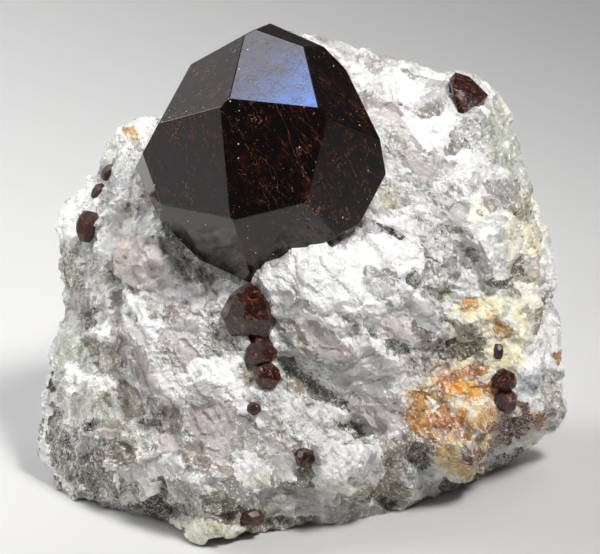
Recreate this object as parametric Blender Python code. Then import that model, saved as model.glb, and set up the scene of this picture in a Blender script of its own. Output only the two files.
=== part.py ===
"""Garnet in matrix: a rough block of quartz, feldspar and mica with red-black garnets grown in it.

Everything is laid out in a front view, in millimetres: u to the right, v up, w out towards the
viewer. The front view looks down on the block by VIEW_TILT, and lift() turns it into the scene's
metres, +Z up, front towards -Y, with the block resting on z = 0.
"""

import math

import bmesh
import bpy
import numpy as np
from mathutils import Matrix, Vector

MM = 0.001
VIEW_TILT = math.radians(20.0)
VIEW_ORIGIN_HEIGHT = 32.7  # of u = v = w = 0 above the resting plane
SHIFT_X = 0.0  # centres the finished block's box on the origin
SHIFT_Y = -2.44

BACK_DEPTH = -36.0  # w of the flattish back
MATRIX_TRIANGLES = 8200
VOXEL = 0.6
OUTLINE_EXTRA = 0.4  # makes up for what evening out rounds off the outline
FABRIC = math.radians(-52.0)  # the rock's grain runs down to the right at this angle
GRAIN_STRETCH = 1.3
FLATNESS = 0.75  # how far a broken facet is flat rather than following the block's swell
SOCKET_GAP = 0.3  # clearance round the large crystal in its socket
SMALL_GAP = 0.2
SCOOP_SEED = 11
SCOOPS = ((11.0, 3.0, 1.1, 0.0), (5.5, 1.5, 0.8, 0.3))  # spacing, depth, lean, share on the front

# Big breaks across the sides and the back: outward direction u, v, w and distance.
BREAKS = (
    (0.05, 0.3, -0.95, 33.5), (0.72, 0.1, -0.68, 38.0), (-0.74, 0.12, -0.66, 38.0),
    (0.15, 0.75, -0.63, 36.5), (0.35, -0.55, -0.75, 39.0), (-0.45, -0.4, -0.8, 39.0),
    (-0.45, 0.6, -0.66, 35.0),
)

# The block's outline in the front view, clockwise from the top, with its depth.
RIM = (
    (0, 38, -12), (4.6, 36.2, -12), (9.9, 34.1, -13), (15.3, 32.9, -14), (21.4, 31.7, -13.5),
    (26.4, 31.3, -12), (29.1, 28.9, -11.5), (31, 26.6, -13), (32.8, 20.9, -12), (33.9, 16, -12),
    (36.6, 9.9, -11), (37.9, 4.1, -11), (38.5, -3.5, -11), (39.3, -8.1, -11), (40.4, -14.9, -11),
    (39.7, -20.3, -12), (38.6, -23.3, -12), (34.7, -26, -14), (31.5, -28.8, -16), (24.3, -32.3, -8),
    (14.2, -35.2, 1), (4.5, -36.2, 4.5), (-1.5, -37.1, 7.5), (-7.4, -38.2, 11),
    (-11.5, -38.9, 13.3), (-14.3, -39, 13.5), (-17.5, -38.5, 12), (-19.1, -36.2, 4.5),
    (-25.7, -35.7, 2), (-28.5, -34.9, 0.5), (-35.6, -33.6, -3.6), (-38, -29.6, -9),
    (-40.3, -23.3, -10), (-39.3, -18, -10), (-37.3, -9.6, -10), (-35.6, -4.3, -10),
    (-36.6, 2.3, -11), (-35.7, 5.6, -11), (-36.9, 9.5, -12), (-34.3, 11.7, -11), (-30.4, 17, -10),
    (-28.6, 19.6, -10), (-27.4, 23.1, -10), (-22.8, 24.3, -9), (-18.2, 25.6, -8), (-14.4, 29.9, -8),
    (-9.1, 33.9, -9), (-3.8, 36.4, -10),
)

# Depths inside the outline: u, v, w.
FRONT = (
    (-10.3, -1.9, 15), (-7.3, -12.1, 17.5), (0, 1.3, 21.5), (5.8, 2.2, 20), (14.7, 2.5, 15),
    (20.6, -0.4, 13), (26.7, 7, 9), (32.3, 11.6, -1), (34.6, 4.1, -2), (35.3, -3.5, -1),
    (36.1, -11, -1), (36.1, -18.5, -2), (29.7, -10.9, 6), (23.7, -4.9, 9), (22.2, -18.2, 8),
    (26.8, -22.8, 6), (20.8, -25.7, 8), (30.1, -24.6, -3), (14.8, -30.1, 8), (11.8, -24, 13),
    (7.3, -18.1, 14.5), (2.9, -10.7, 18), (11.7, -9.2, 16), (17.7, -9.3, 13.5), (4.4, -33, 9.5),
    (0, -23.9, 15.5), (-7.3, -25.3, 17), (-7.3, -33.5, 14.5), (-13.9, -34.1, 16.5),
    (-14.6, -18, 17), (-22.1, -9.3, 12), (-22.9, 3.1, 9.5), (-29.1, -6.4, 4), (-32.3, -3.5, -1),
    (-33.8, -12.5, -2), (-29.8, -18.3, 5), (-36.2, -23, -3), (-31.3, -25.8, 3.5), (-26.7, -30.1, 7),
    (-20.7, -32.9, 11), (-22.1, -24, 12), (-33, -30.4, 0), (-30, 7, 1), (-33.2, 7.8, -4),
    (-28.5, 13.1, -1), (14.8, 9.9, 11), (19.3, 15.9, 6), (25.4, 17.5, 1.5), (30.2, 22.2, -5),
    (15, 25.1, -1.5), (21.2, 27.6, -6.5), (25.8, 28.4, -7.5), (9.1, 29.8, -5), (28.5, 14.5, 0.5),
    (22.2, 9.2, 9), (-22.2, 10.7, 8), (-25.4, 17.5, 2), (14.1, 17.4, 7), (11, 10.6, 13),
    (7.3, 5.4, 15.5), (-6.2, 0.6, 18.5), (-4.0, 2.0, 20), (-14.7, 2.9, 12.5), (-20.7, 6.9, 11),
    (-8.9, 14.4, 6), (0, 18.9, 6), (0, 28.1, -2), (-12, 23.6, -2),
)

# Broken facets of the front: u, v of the middle, step out, lean per mm to the right and up.
FACETS = (
    (-23, 2.8, 1.6, 0, 0), (-28.8, 5, 0.6, 0.25, -0.2), (-31.1, 4.3, -0.2, 0.3, 0.1),
    (-33.4, 8.7, 0.8, 0, 0), (-34.1, -0.1, 0.2, 0.2, 0.2), (-32.3, -3.4, 0.2, 0.35, -0.1),
    (-28.3, 1, 0.6, -0.2, 0.3), (-28.5, -6.4, 0.4, 0.2, -0.2), (-28.2, -12, -0.6, -0.1, 0.3),
    (-23.7, -6.1, 1.2, -0.25, -0.35), (-20, -4.9, 0.5, 0.1, -0.3), (-16, -3.4, 0.1, 0.25, 0.15),
    (-16.9, 2.2, 0.3, 0, -0.1), (-12.6, -4.2, 0.6, -0.1, -0.2), (-25.2, -10.1, 1, 0.25, -0.15),
    (-19.3, -10.8, 0.9, -0.1, -0.2), (-20.8, -16, 0.8, 0.1, 0.3), (-14.1, -10.1, -0.2, 0.2, 0.25),
    (-12.6, -14.5, 0.8, -0.1, -0.35), (-16.3, -16.8, -0.4, 0.2, 0.2), (-10.7, -18.2, 1, -0.2, -0.3),
    (-24.9, -17.9, -1.3, 0.15, 0.35), (-20, -21.5, -1.1, -0.1, 0.4), (-32, -16, 0.8, 0.2, -0.2),
    (-32, -21.2, 0.5, 0.3, 0.1), (-35.6, -12.3, -0.2, 0.3, 0), (-36.3, -19, -0.5, 0.3, 0.2),
    (-28.9, -22.7, 0, 0.1, 0.1), (-27.4, -28.6, 0.5, 0.1, -0.25), (-32.6, -27.1, -0.4, 0.3, 0.2),
    (-23, -26.4, 0.4, 0.1, 0), (-17.8, -27.4, 0.6, -0.1, -0.1), (-14.1, -22.7, 0.2, 0.15, 0.2),
    (-8.9, -23.4, 0.6, -0.1, -0.2), (-11.1, -28.6, 0.8, 0.1, -0.1), (-24.5, -33.1, -0.3, 0, 0.3),
    (-17.1, -33.1, 0.3, -0.2, 0.1), (-11.1, -33.8, 0.2, 0.1, 0.2), (-13.3, -37.2, 0.9, 0, -0.4),
    (-5.9, -28.6, 0.8, 0, -0.2), (-3.7, -32.3, 0.2, 0, 0.3), (-3.3, -21.9, 0.3, 0.1, 0.15),
    (0, -23.4, 0.6, -0.2, -0.1), (4.4, -27.1, 2.2, -0.1, -0.15), (7.7, -30.1, 1.6, -0.2, 0.15),
    (9.8, -25.9, 1.6, -0.35, 0), (1.8, -30.8, 0.9, 0.1, 0.2), (0, -17.5, -0.6, -0.1, 0.25),
    (3.7, -19.4, -1.6, -0.1, 0.35), (8.2, -21.9, -2.4, -0.25, 0.2), (6.7, -16, -0.8, 0.1, 0.45),
    (-0.6, -10.1, 0.4, 0.25, 0.2), (1.5, -7.9, 0.9, 0.3, -0.1), (4.4, -11.1, 1.2, 0.1, 0.35),
    (7.4, -7.9, 1.2, 0.25, 0.2), (10.4, -11.6, 1.1, -0.1, 0.3), (10.7, -6.4, 0.4, 0.15, 0.25),
    (14.1, -7.1, 0, 0.35, -0.1), (-1.8, -4.9, 0.5, 0.2, 0.1), (1.5, -1.2, 0.8, 0, -0.35),
    (6.7, -0.4, 0.8, -0.1, -0.4), (12.6, 1, 0.5, 0, -0.4), (17.8, 2.2, -0.3, 0.1, -0.3),
    (16.3, -3.4, 0.9, 0.15, -0.25), (19.6, -6.7, 1.3, -0.35, 0.1), (18.5, -0.9, 1.5, 0.1, 0.3),
    (14.8, -13, 0.2, -0.1, -0.1), (11.9, -18.2, 0.1, 0, 0.1), (15.6, -19.7, -0.1, -0.15, 0.1),
    (12.6, -28.6, 0.1, -0.2, 0.1), (20, -11.1, -1.4, 0, 0.3), (23, -3.4, -1, 0.2, 0.1),
    (24, -9.3, -1.4, 0.1, 0.2), (25.9, -5.6, 0.5, 0, -0.4), (29.7, -8.6, 0.2, -0.1, -0.2),
    (32.6, -7.9, 0.6, -0.5, 0), (27, -11.6, 0.2, 0.1, -0.1), (30.4, -13, 0.3, 0, 0.1),
    (19.3, -17.5, -1.8, 0.1, 0.4), (23, -16.8, -2.2, 0, -0.3), (25.2, -16, -1.6, 0, 0.2),
    (18.5, -21.2, -1.2, 0.2, 0), (22.2, -21.2, -0.8, 0, -0.2), (26.4, -20.9, 1, -0.1, -0.3),
    (23, -26.4, 1.8, 0, 0.1), (26.7, -24.9, 0.8, -0.2, 0.2), (17.8, -26.4, -0.6, 0.1, 0.3),
    (31.1, -21.9, -0.4, -0.2, 0.1), (34.1, -18.2, 0.4, 0, -0.2), (36.3, -21.9, 0.4, -0.2, 0.1),
    (36.8, -15.3, 0.4, -0.2, 0), (35.6, -10.1, -0.2, -0.1, 0), (36.3, -4.9, 0.3, -0.2, 0),
    (34.8, -0.4, -0.6, 0, 0.2), (35.3, 4, 0.9, -0.2, -0.1), (34.1, 7.7, 0.7, 0, -0.2),
    (29.4, 4.9, 1.5, -0.1, 0.05), (25.2, 7.7, 0.9, 0, -0.25), (23, 4, -0.8, -0.45, 0),
    (20.3, 5.5, 0.6, -0.3, 0), (22.2, 12.2, 0.7, 0, -0.3), (17.8, 10.7, 0.1, 0.1, 0.2),
    (14.1, 7.7, -0.1, 0.2, 0.1), (14.8, 13.6, -0.6, -0.2, 0.3), (12.6, 16.6, 0.2, 0.1, -0.1),
    (18.5, 16.6, 0.9, 0, -0.5), (23, 18.8, 0.6, 0.1, -0.3), (26.7, 14.4, 0.3, -0.2, -0.1),
    (28.9, 18.1, 0.1, -0.3, 0.1), (30.4, 22.5, 0, -0.3, 0), (31.9, 15.1, -0.4, -0.2, 0),
    (29.7, 11.4, 0.4, -0.1, -0.3), (14.8, 28, 1, 0, -0.55), (11.1, 30, 0.2, 0.1, -0.2),
    (18.5, 27, -0.2, -0.2, 0.2), (21.5, 29.2, 0.2, 0, -0.3), (14.1, 24.5, -0.8, -0.1, 0.3),
    (17.8, 23.6, -0.7, 0, 0.2), (12.6, 21.8, 0.5, -0.1, -0.4), (21.5, 24, -0.3, 0, 0.1),
    (9.6, 26.2, -0.3, -0.2, 0), (7.4, 30.4, 0.2, -0.1, -0.2), (4.4, 32.9, 0, 0, 0),
    (-25.5, 20.3, 0.9, 0.1, -0.2), (-27.4, 16.6, 0.8, 0.35, 0), (-25.5, 13.6, 0.6, 0.3, 0),
    (-24.2, 17.3, -0.3, -0.1, 0), (-28.5, 12.6, -0.2, 0.1, 0.1), (-23.7, 9.2, -0.3, 0, 0.15),
    (-26.7, 7.7, 0.1, 0, 0.1),
)

# Rounded lumps: u, v, radii, angle in degrees, height.
DOMES = (
    (-23, 2.8, 4.4, 3.8, 0, 1.6), (29.5, 5.2, 3.3, 4.7, -10, 1.8), (25.5, 7.3, 3.3, 3, 0, 0.8),
    (24, -26.4, 4.4, 2.7, 0, 1.5), (26.7, -20.9, 2.1, 1.5, 0, 1), (6.7, -28.3, 5.3, 3.6, -25, 1.2),
    (-34.1, -0.1, 1.5, 3, 0, 1), (35.6, 4.7, 1.8, 1.5, 0, 1), (36.5, 8.2, 1.3, 1.2, 0, 0.9),
    (35, 1, 1.5, 1.3, 0, 0.8), (37.1, -1.9, 1.2, 1.3, 0, 0.8), (2.2, 0.3, 4.1, 2.4, 0, 1),
    (-13, -37.5, 4.1, 1.3, 0, 1.2), (-32, -18.2, 1.3, 4.4, 12, 1), (21.5, 12.2, 3, 2.1, 0, 0.7),
    (-22.2, -8.6, 3.6, 5, 35, 0.8),
)

# Cracks and ledges: width, depth, line.
GROOVES = (
    (2.4, 1.5, ((-3.1, -11.1), (0, -13.2), (4.4, -16.5), (7.7, -19.4), (10.1, -23.9))),
    (1.2, 1, ((-28.2, -1.5), (-27, -6.4), (-25.5, -12.3), (-22.2, -17.5))),
    (1.6, 1.2, ((-25.5, -14.1), (-22.2, -17.9), (-17.1, -24.2))),
    (1.4, 1.2, ((18.8, 10.7), (21.9, 7.3), (25.5, 1.9))),
    (1.6, 1.4, ((9.9, 8.2), (12.5, 7.3), (15, 4.7))),
    (1.8, 1.6, ((16.9, 0.4), (20.8, -6.4), (22.5, -10.5))),
    (1.5, 2, ((32, 9.3), (32.9, 7.6), (32.8, 4), (31.9, 1))),
    (1.2, 1, ((-29.1, 7.6), (-26.1, 8.5), (-22.2, 9))),
    (1.1, 1.3, ((-26.4, 20.2), (-24.5, 15), (-22.8, 11.4))),
    (1, 0.8, ((-28.6, 17.1), (-26.4, 11.4))),
    (1.6, 1.2, ((-27.9, 4.6), (-27.6, 0.3), (-26.4, -1.9), (-22.2, -2.1))),
    (1.7, 1.5, ((-20.8, -33.8), (-9.6, -34.8), (-3.7, -34.8), (4.4, -33.5), (13.6, -32.8))),
    (1.3, 1.2, ((16, -17.6), (20.8, -14.5), (28.2, -12))),
    (1.6, 1.4, ((12.3, -27.7), (10.7, -30.4), (5.9, -32.6))),
    (1.8, 1.6, ((13.6, -33.5), (19.3, -31.3), (25.2, -29.8), (29.7, -27.1))),
    (1.4, 1, ((-37.1, -18.8), (-33.8, -25.7), (-30.1, -32.2))),
    (1.2, 0.8, ((-35.3, -18.5), (-31.9, -24.9), (-26.7, -31.6))),
    (1.6, 1.2, ((18.2, -10.5), (22.5, -11.1), (26.4, -9.9))),
    (1.5, 1, ((30.4, -3.4), (31.4, -9.3), (33.8, -15.3))),
    (1.2, 1, ((10.7, 24.5), (14.1, 23), (18.5, 21.8), (22.5, 23.6))),
    (1.2, 1, ((12.8, 20.3), (16.3, 17.3), (21.5, 15.6))),
)

# The large crystal: axes in the front view, centre, and how far each of its 24 faces lies from it.
MAIN_CENTRE = (-5.74, 18.18, 12.0)
MAIN_AXIS_A = (-0.268, 0.299, 0.916)
MAIN_AXIS_B = (0.963, 0.044, 0.267)
MAIN_FACE = 15.9
MAIN_FACES = {
    (2, -1, 1): 15.8,
    (2, 1, 1): 16.15,
    (2, 1, -1): 14.55,
    (2, -1, -1): 15.15,
    (1, 2, 1): 15.95,
    (1, 1, 2): 17.8,
    (1, 2, -1): 15.25,
    (1, 1, -2): 15.75,
    (1, -1, -2): 16.1,
    (1, -2, -1): 17.35,
    (1, -2, 1): 15.35,
    (1, -1, 2): 16.4,
    (-1, 1, 2): 14.55,
    (-1, 2, 1): 14.9,
    (-1, 2, -1): 17.5,
    (-1, -1, -2): 16.9,
    (-1, -2, -1): 14.25,
}

# Small crystals: centre u, v, radius, how far the centre sinks under the rock, turns in degrees.
CHAIN = (
    (-7.2, -5.3, 4.4, 0.2, (20, 35, 10)),
    (-5.8, -10.7, 2.9, 1.0, (50, 10, 30)),
    (-4.8, -14.5, 2.1, 0.9, (15, 60, 5)),
)
RIGHT_PAIR = (
    (30.3, -15.4, 2.0, 0.5, (40, 20, 0)),
    (30.6, -18.5, 2.0, 0.7, (10, 55, 25)),
)
GRAINS = {
    "garnet_lower": (0.7, -26.5, 1.7, 0.3, (25, 40, 60)),
    "garnet_tiny": (-6.7, -19.2, 1.1, 0.2, (60, 15, 20)),
    "garnet_right_grain": (29.4, -11.1, 1.0, 0.2, (5, 50, 35)),
    "garnet_left": (-31.9, 7.7, 1.8, 0.3, (35, 25, 15)),
    "garnet_edge_a": (-29.0, 15.7, 1.0, 0.2, (70, 30, 10)),
    "garnet_edge_b": (-30.5, 13.0, 0.9, 0.2, (20, 80, 45)),
    "garnet_bottom": (-7.1, -35.4, 1.4, 0.3, (45, 45, 15)),
}
# How much longer than wide a grain is, and the angle of its long side in the front view.
LONG_GRAINS = {
    "garnet_left": (1.5, 80),
    "garnet_edge_a": (1.6, 55),
    "garnet_edge_b": (1.6, 55),
    "garnet_bottom": (1.5, 5),
    "garnet_right_grain": (1.4, 80),
}

# The upper right crystal: its outline at the rock, the ridge between its two broken faces.
UPPER_RIGHT_OUTLINE = (
    (23.6, 31.1), (25.7, 30.4), (28.5, 27.6), (27.8, 25.9), (24.9, 24.5), (23.8, 24.8), (23.0, 27.4),
    (22.6, 29.9),
)
UPPER_RIGHT_RIDGE = ((23.0, 28.6), (25.1, 27.9), (27.7, 26.7))
UPPER_RIGHT_LIFT = 0.9  # of its outline above the rock
UPPER_RIGHT_PROUD = 2.6
UPPER_RIGHT_DEEP = 3.6


def clear_scene():
    for obj in list(bpy.data.objects):
        bpy.data.objects.remove(obj)


def lift(points):
    """Front view millimetres to scene metres."""
    p = np.asarray(points, float).reshape(-1, 3)
    s, c = math.sin(VIEW_TILT), math.cos(VIEW_TILT)
    x = p[:, 0] + SHIFT_X
    y = p[:, 1] * s - p[:, 2] * c + SHIFT_Y
    z = p[:, 1] * c + p[:, 2] * s + VIEW_ORIGIN_HEIGHT
    return np.stack([x, y, z], axis=1) * MM


def unlift(points, turn_only=False):
    """Scene metres back to front view millimetres."""
    p = np.asarray(points, float).reshape(-1, 3) / MM
    if not turn_only:
        p = p - [SHIFT_X, SHIFT_Y, VIEW_ORIGIN_HEIGHT]
    s, c = math.sin(VIEW_TILT), math.cos(VIEW_TILT)
    return np.stack([p[:, 0], p[:, 1] * s + p[:, 2] * c, p[:, 2] * s - p[:, 1] * c], axis=1)


def spline(points):
    """A thin plate through hand-placed depths: returns its depth at any u, v."""
    p = np.array(points, float)
    n = len(p)

    def kernel(a, b):
        r2 = ((a[:, None] - b[None]) ** 2).sum(axis=2)
        return r2 * np.log(r2 + 1e-9)

    flat = np.c_[np.ones(n), p[:, :2]]
    system = np.zeros((n + 3, n + 3))
    system[:n, :n] = kernel(p[:, :2], p[:, :2]) + np.eye(n) * 2.0
    system[:n, n:] = flat
    system[n:, :n] = flat.T
    weights = np.linalg.solve(system, np.r_[p[:, 2], 0, 0, 0])

    def depth(uv):
        uv = np.asarray(uv, float).reshape(-1, 2)
        return kernel(uv, p[:, :2]) @ weights[:n] + np.c_[np.ones(len(uv)), uv] @ weights[n:]

    return depth


SWELL = spline(RIM + FRONT)


def to_line(uv, line):
    """Distance from each point to a broken line."""
    best = np.full(len(uv), 1e9)
    for a, b in zip(line, line[1:]):
        a, b = np.array(a), np.array(b)
        along = np.clip(((uv - a) @ (b - a)) / ((b - a) @ (b - a)), 0, 1)
        best = np.minimum(best, np.linalg.norm(uv - a - along[:, None] * (b - a), axis=1))
    return best


def facet_depth(uv):
    """The block's swell broken into flat facets, each with its own step and lean."""
    facets = np.array(FACETS)
    seeds = facets[:, :2]
    grain = np.array([math.cos(FABRIC), math.sin(FABRIC)])
    across = np.array([-grain[1], grain[0]])
    gap = uv[:, None] - seeds[None]
    reach = ((gap @ grain) / GRAIN_STRETCH) ** 2 + (gap @ across) ** 2
    mine = reach.argmin(axis=1)
    level = SWELL(seeds)
    step = 0.2
    lean_u = (SWELL(seeds + [step, 0]) - SWELL(seeds - [step, 0])) / (2 * step)
    lean_v = (SWELL(seeds + [0, step]) - SWELL(seeds - [0, step])) / (2 * step)
    off = uv - seeds[mine]
    plane = level[mine] + lean_u[mine] * off[:, 0] + lean_v[mine] * off[:, 1]
    swell = SWELL(uv)
    plane = swell + np.clip(plane - swell, -1.5, 1.5) * FLATNESS
    tilt = facets[mine, 3] * off[:, 0] + facets[mine, 4] * off[:, 1]
    return plane + facets[mine, 2] + np.clip(tilt, -1.4, 1.4)


def front_depth(uv, edge=None):
    """Depth of the front at u, v. edge is 1 well inside and 0 at the outline."""
    uv = np.asarray(uv, float).reshape(-1, 2)
    swell = SWELL(uv)
    depth = facet_depth(uv)
    for u, v, ru, rv, angle, height in DOMES:
        c, s = math.cos(math.radians(angle)), math.sin(math.radians(angle))
        du, dv = uv[:, 0] - u, uv[:, 1] - v
        r2 = ((c * du + s * dv) / ru) ** 2 + ((c * dv - s * du) / rv) ** 2
        depth += height * np.clip(1 - r2, 0, 1) ** 0.7
    for width, deep, line in GROOVES:
        depth -= deep * np.clip(1 - to_line(uv, line) / width, 0, 1)
    return depth if edge is None else swell + (depth - swell) * edge


def outline_radius(angles):
    """Radius and depth of the outline at each angle round the front view's origin."""
    rim = np.array(RIM)
    at = np.arctan2(rim[:, 1], rim[:, 0])
    order = at.argsort()
    at, rim = at[order], rim[order]
    at = np.r_[at[-1] - 2 * math.pi, at, at[0] + 2 * math.pi]
    rim = np.vstack([rim[-1], rim, rim[0]])
    found = []
    for angle in angles:
        i = int(np.clip(np.searchsorted(at, angle) - 1, 0, len(at) - 2))
        a, b = rim[i], rim[i + 1]
        ray = np.array([math.cos(angle), math.sin(angle)])
        side = b[:2] - a[:2]
        share = (a[0] * ray[1] - a[1] * ray[0]) / (side[1] * ray[0] - side[0] * ray[1])
        share = min(max(share, 0.0), 1.0)
        point = a + share * (b - a)
        found.append((float(np.hypot(point[0], point[1])) + OUTLINE_EXTRA, float(point[2])))
    return np.array(found)


def block_mesh():
    """The front and back sheets meeting at the outline, as one closed mesh."""
    rays, rings = 180, 56
    angles = np.linspace(-math.pi, math.pi, rays, endpoint=False)
    rim = outline_radius(angles)
    share = np.linspace(0, 1, rings + 1)[1:] ** 0.85
    u = np.outer(share, rim[:, 0] * np.cos(angles))
    v = np.outer(share, rim[:, 0] * np.sin(angles))
    uv = np.stack([u.ravel(), v.ravel()], axis=1)
    edge = np.repeat(np.clip((1 - share) / 0.07, 0, 1), rays)
    front = front_depth(uv, edge).reshape(rings, rays)
    front[-1] = rim[:, 1]
    s = share[:-1, None]
    back = rim[None, :, 1] + (BACK_DEPTH - rim[None, :, 1]) * (1 - s**3.2) ** 0.5
    points = [np.stack([u.ravel(), v.ravel(), front.ravel()], axis=1)]
    points.append(np.stack([u[:-1].ravel(), v[:-1].ravel(), back.ravel()], axis=1))
    centre = np.array([[0.0, 0.0, float(front_depth([[0.0, 0.0]])[0])], [0.0, 0.0, BACK_DEPTH]])
    points = np.vstack(points + [centre])
    first_back = rings * rays
    faces = []
    for j in range(rays):
        k = (j + 1) % rays
        faces.append((len(points) - 2, j, k))
        faces.append((len(points) - 1, first_back + k, first_back + j))
        for i in range(rings - 1):
            a, b = i * rays + j, i * rays + k
            faces.append((a, a + rays, b + rays, b))
            c, d = first_back + a, first_back + b
            e, f = (c + rays, d + rays) if i < rings - 2 else (a + rays, b + rays)
            faces.append((c, d, f, e))
    mesh = bpy.data.meshes.new("matrix")
    mesh.from_pydata([tuple(p) for p in lift(points)], [], faces)
    mesh.validate()
    return mesh


def apply_modifiers(obj):
    graph = bpy.context.evaluated_depsgraph_get()
    obj.update_tag()
    graph.update()
    mesh = bpy.data.meshes.new_from_object(obj.evaluated_get(graph))
    obj.modifiers.clear()
    old = obj.data
    obj.data = mesh
    bpy.data.meshes.remove(old)


def fracture(obj):
    """Flattens the back and the sides along big breaks, then scoops them into smaller ones."""
    mesh = obj.data
    n = len(mesh.vertices)
    points = np.empty(n * 3, np.float32)
    mesh.vertices.foreach_get("co", points)
    points = unlift(points.reshape(-1, 3).astype(float))
    for *direction, distance in BREAKS:
        outward = np.array(direction) / np.linalg.norm(direction)
        over = np.clip(points @ outward - distance, 0, None)
        points -= over[:, None] * outward
    mesh.vertices.foreach_set("co", lift(points).ravel())
    mesh.update()
    normals = np.empty(n * 3, np.float32)
    mesh.vertices.foreach_get("normal", normals)
    normals = unlift(normals.reshape(-1, 3).astype(float) * MM, turn_only=True)
    rim = outline_radius(np.arctan2(points[:, 1], points[:, 0]))[:, 1]
    hidden = np.clip((rim - 0.5 - points[:, 2]) / 7, 0, 1)
    rng = np.random.default_rng(SCOOP_SEED)
    push = np.zeros(n)
    for spacing, deepest, lean_by, ahead in SCOOPS:
        low, high = points.min(axis=0) - spacing, points.max(axis=0) + spacing
        count = int(np.prod((high - low) / spacing))
        seeds = low + rng.random((count, 3)) * (high - low)
        lean = rng.normal(size=(count, 3)) * lean_by
        level = rng.uniform(0, 0.4, count)
        depth = np.empty(n)
        for start in range(0, n, 4000):
            off = points[start:start + 4000, None] - seeds[None]
            bowl = (off**2).sum(axis=2) / spacing**2 * 1.6 + level + (off * lean).sum(axis=2) / spacing
            depth[start:start + 4000] = bowl.min(axis=1)
        depth = np.clip((depth - np.percentile(depth, 2)) / np.ptp(np.percentile(depth, (2, 98))), 0, 1)
        push -= deepest * (1 - depth) * (ahead + (1 - ahead) * hidden)
    points += normals * push[:, None]
    mesh.vertices.foreach_set("co", lift(points).ravel())
    mesh.update()


def cut_away(obj, tool):
    """Takes the tool's shape out of the object, and the tool out of the scene."""
    cut = obj.modifiers.new("cut", "BOOLEAN")
    cut.operation = "DIFFERENCE"
    cut.solver = "EXACT"
    cut.object = tool
    apply_modifiers(obj)
    bpy.data.objects.remove(tool)


def cut_flat_base(obj):
    bm = bmesh.new()
    bmesh.ops.create_cube(bm, size=200 * MM)
    bmesh.ops.translate(bm, verts=bm.verts[:], vec=(0, 0, -100 * MM))
    mesh = bpy.data.meshes.new("ground")
    bm.to_mesh(mesh)
    bm.free()
    cut_away(obj, placed("ground", mesh))


def keep_largest_body(obj):
    bm = bmesh.new()
    bm.from_mesh(obj.data)
    left = set(bm.verts)
    bodies = []
    while left:
        stack = [left.pop()]
        body = set(stack)
        while stack:
            for edge in stack.pop().link_edges:
                for vert in edge.verts:
                    if vert in left:
                        left.discard(vert)
                        body.add(vert)
                        stack.append(vert)
        bodies.append(body)
    bodies.sort(key=len)
    for body in bodies[:-1]:
        bmesh.ops.delete(bm, geom=list(body), context="VERTS")
    bm.to_mesh(obj.data)
    bm.free()


def even_out(obj):
    """One closed skin of even quads, with anything folded through itself resolved."""
    remesh = obj.modifiers.new("even", "REMESH")
    remesh.mode = "VOXEL"
    remesh.voxel_size = VOXEL * MM
    apply_modifiers(obj)
    keep_largest_body(obj)


def build_matrix():
    obj = bpy.data.objects.new("matrix", block_mesh())
    bpy.context.scene.collection.objects.link(obj)
    even_out(obj)
    fracture(obj)
    even_out(obj)
    thin = obj.modifiers.new("facets", "DECIMATE")
    thin.ratio = MATRIX_TRIANGLES / (2 * len(obj.data.polygons))
    apply_modifiers(obj)
    cut_flat_base(obj)
    return obj


def face_normals():
    found = []
    for big in range(3):
        for signs in range(8):
            n = [1.0, 1.0, 1.0]
            n[big] = 2.0
            found.append(tuple(v if signs >> i & 1 else -v for i, v in enumerate(n)))
    return found


def turned(angles):
    x, y, z = (math.radians(a) for a in angles)
    return Matrix.Rotation(z, 3, "Z") @ Matrix.Rotation(y, 3, "Y") @ Matrix.Rotation(x, 3, "X")


def crystal_mesh(name, planes, centre, stretch=None):
    """Cuts a box with planes (normal, distance) given in the front view, in millimetres."""
    bm = bmesh.new()
    reach = 3 * max(distance for _, distance in planes)
    bmesh.ops.create_cube(bm, size=2 * reach)
    for normal, distance in planes:
        n = Vector(normal).normalized()
        everything = bm.verts[:] + bm.edges[:] + bm.faces[:]
        cut = bmesh.ops.bisect_plane(
            bm, geom=everything, dist=1e-5, plane_co=n * distance, plane_no=n, clear_outer=True
        )
        loop = [e for e in cut["geom_cut"] if isinstance(e, bmesh.types.BMEdge)]
        if loop:
            bmesh.ops.contextual_create(bm, geom=loop)
    bmesh.ops.remove_doubles(bm, verts=bm.verts[:], dist=0.02)
    bmesh.ops.recalc_face_normals(bm, faces=bm.faces[:])
    points = np.array([v.co[:] for v in bm.verts])
    if stretch:
        amount, angle = stretch
        c, s = math.cos(math.radians(angle)), math.sin(math.radians(angle))
        along = points[:, 0] * c + points[:, 1] * s
        points[:, 0] += along * c * (amount - 1)
        points[:, 1] += along * s * (amount - 1)
    for vert, point in zip(bm.verts, lift(points + np.array(centre))):
        vert.co = point
    mesh = bpy.data.meshes.new(name)
    bm.to_mesh(mesh)
    bm.free()
    return mesh


def placed(name, mesh):
    obj = bpy.data.objects.new(name, mesh)
    bpy.context.scene.collection.objects.link(obj)
    return obj


def main_planes(extra=0.0):
    a = Vector(MAIN_AXIS_A).normalized()
    b = Vector(MAIN_AXIS_B)
    b = (b - a * a.dot(b)).normalized()
    axes = Matrix((a, b, a.cross(b))).transposed()
    return [
        (axes @ Vector(n), MAIN_FACES.get(tuple(int(v) for v in n), MAIN_FACE) + extra)
        for n in face_normals()
    ]


def small_planes(radius, angles, extra=0.0):
    """A little crystal's planes: radius is to its corners, and its faces vary a little."""
    turn = turned(angles)
    planes = []
    for i, n in enumerate(face_normals()):
        share = 0.86 + 0.07 * math.sin(2.4 * i + angles[0])
        planes.append((turn @ Vector(n), radius * share + extra))
    return planes


def grain_centre(u, v, sink):
    return (u, v, float(front_depth([[u, v]])[0]) - sink)


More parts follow.
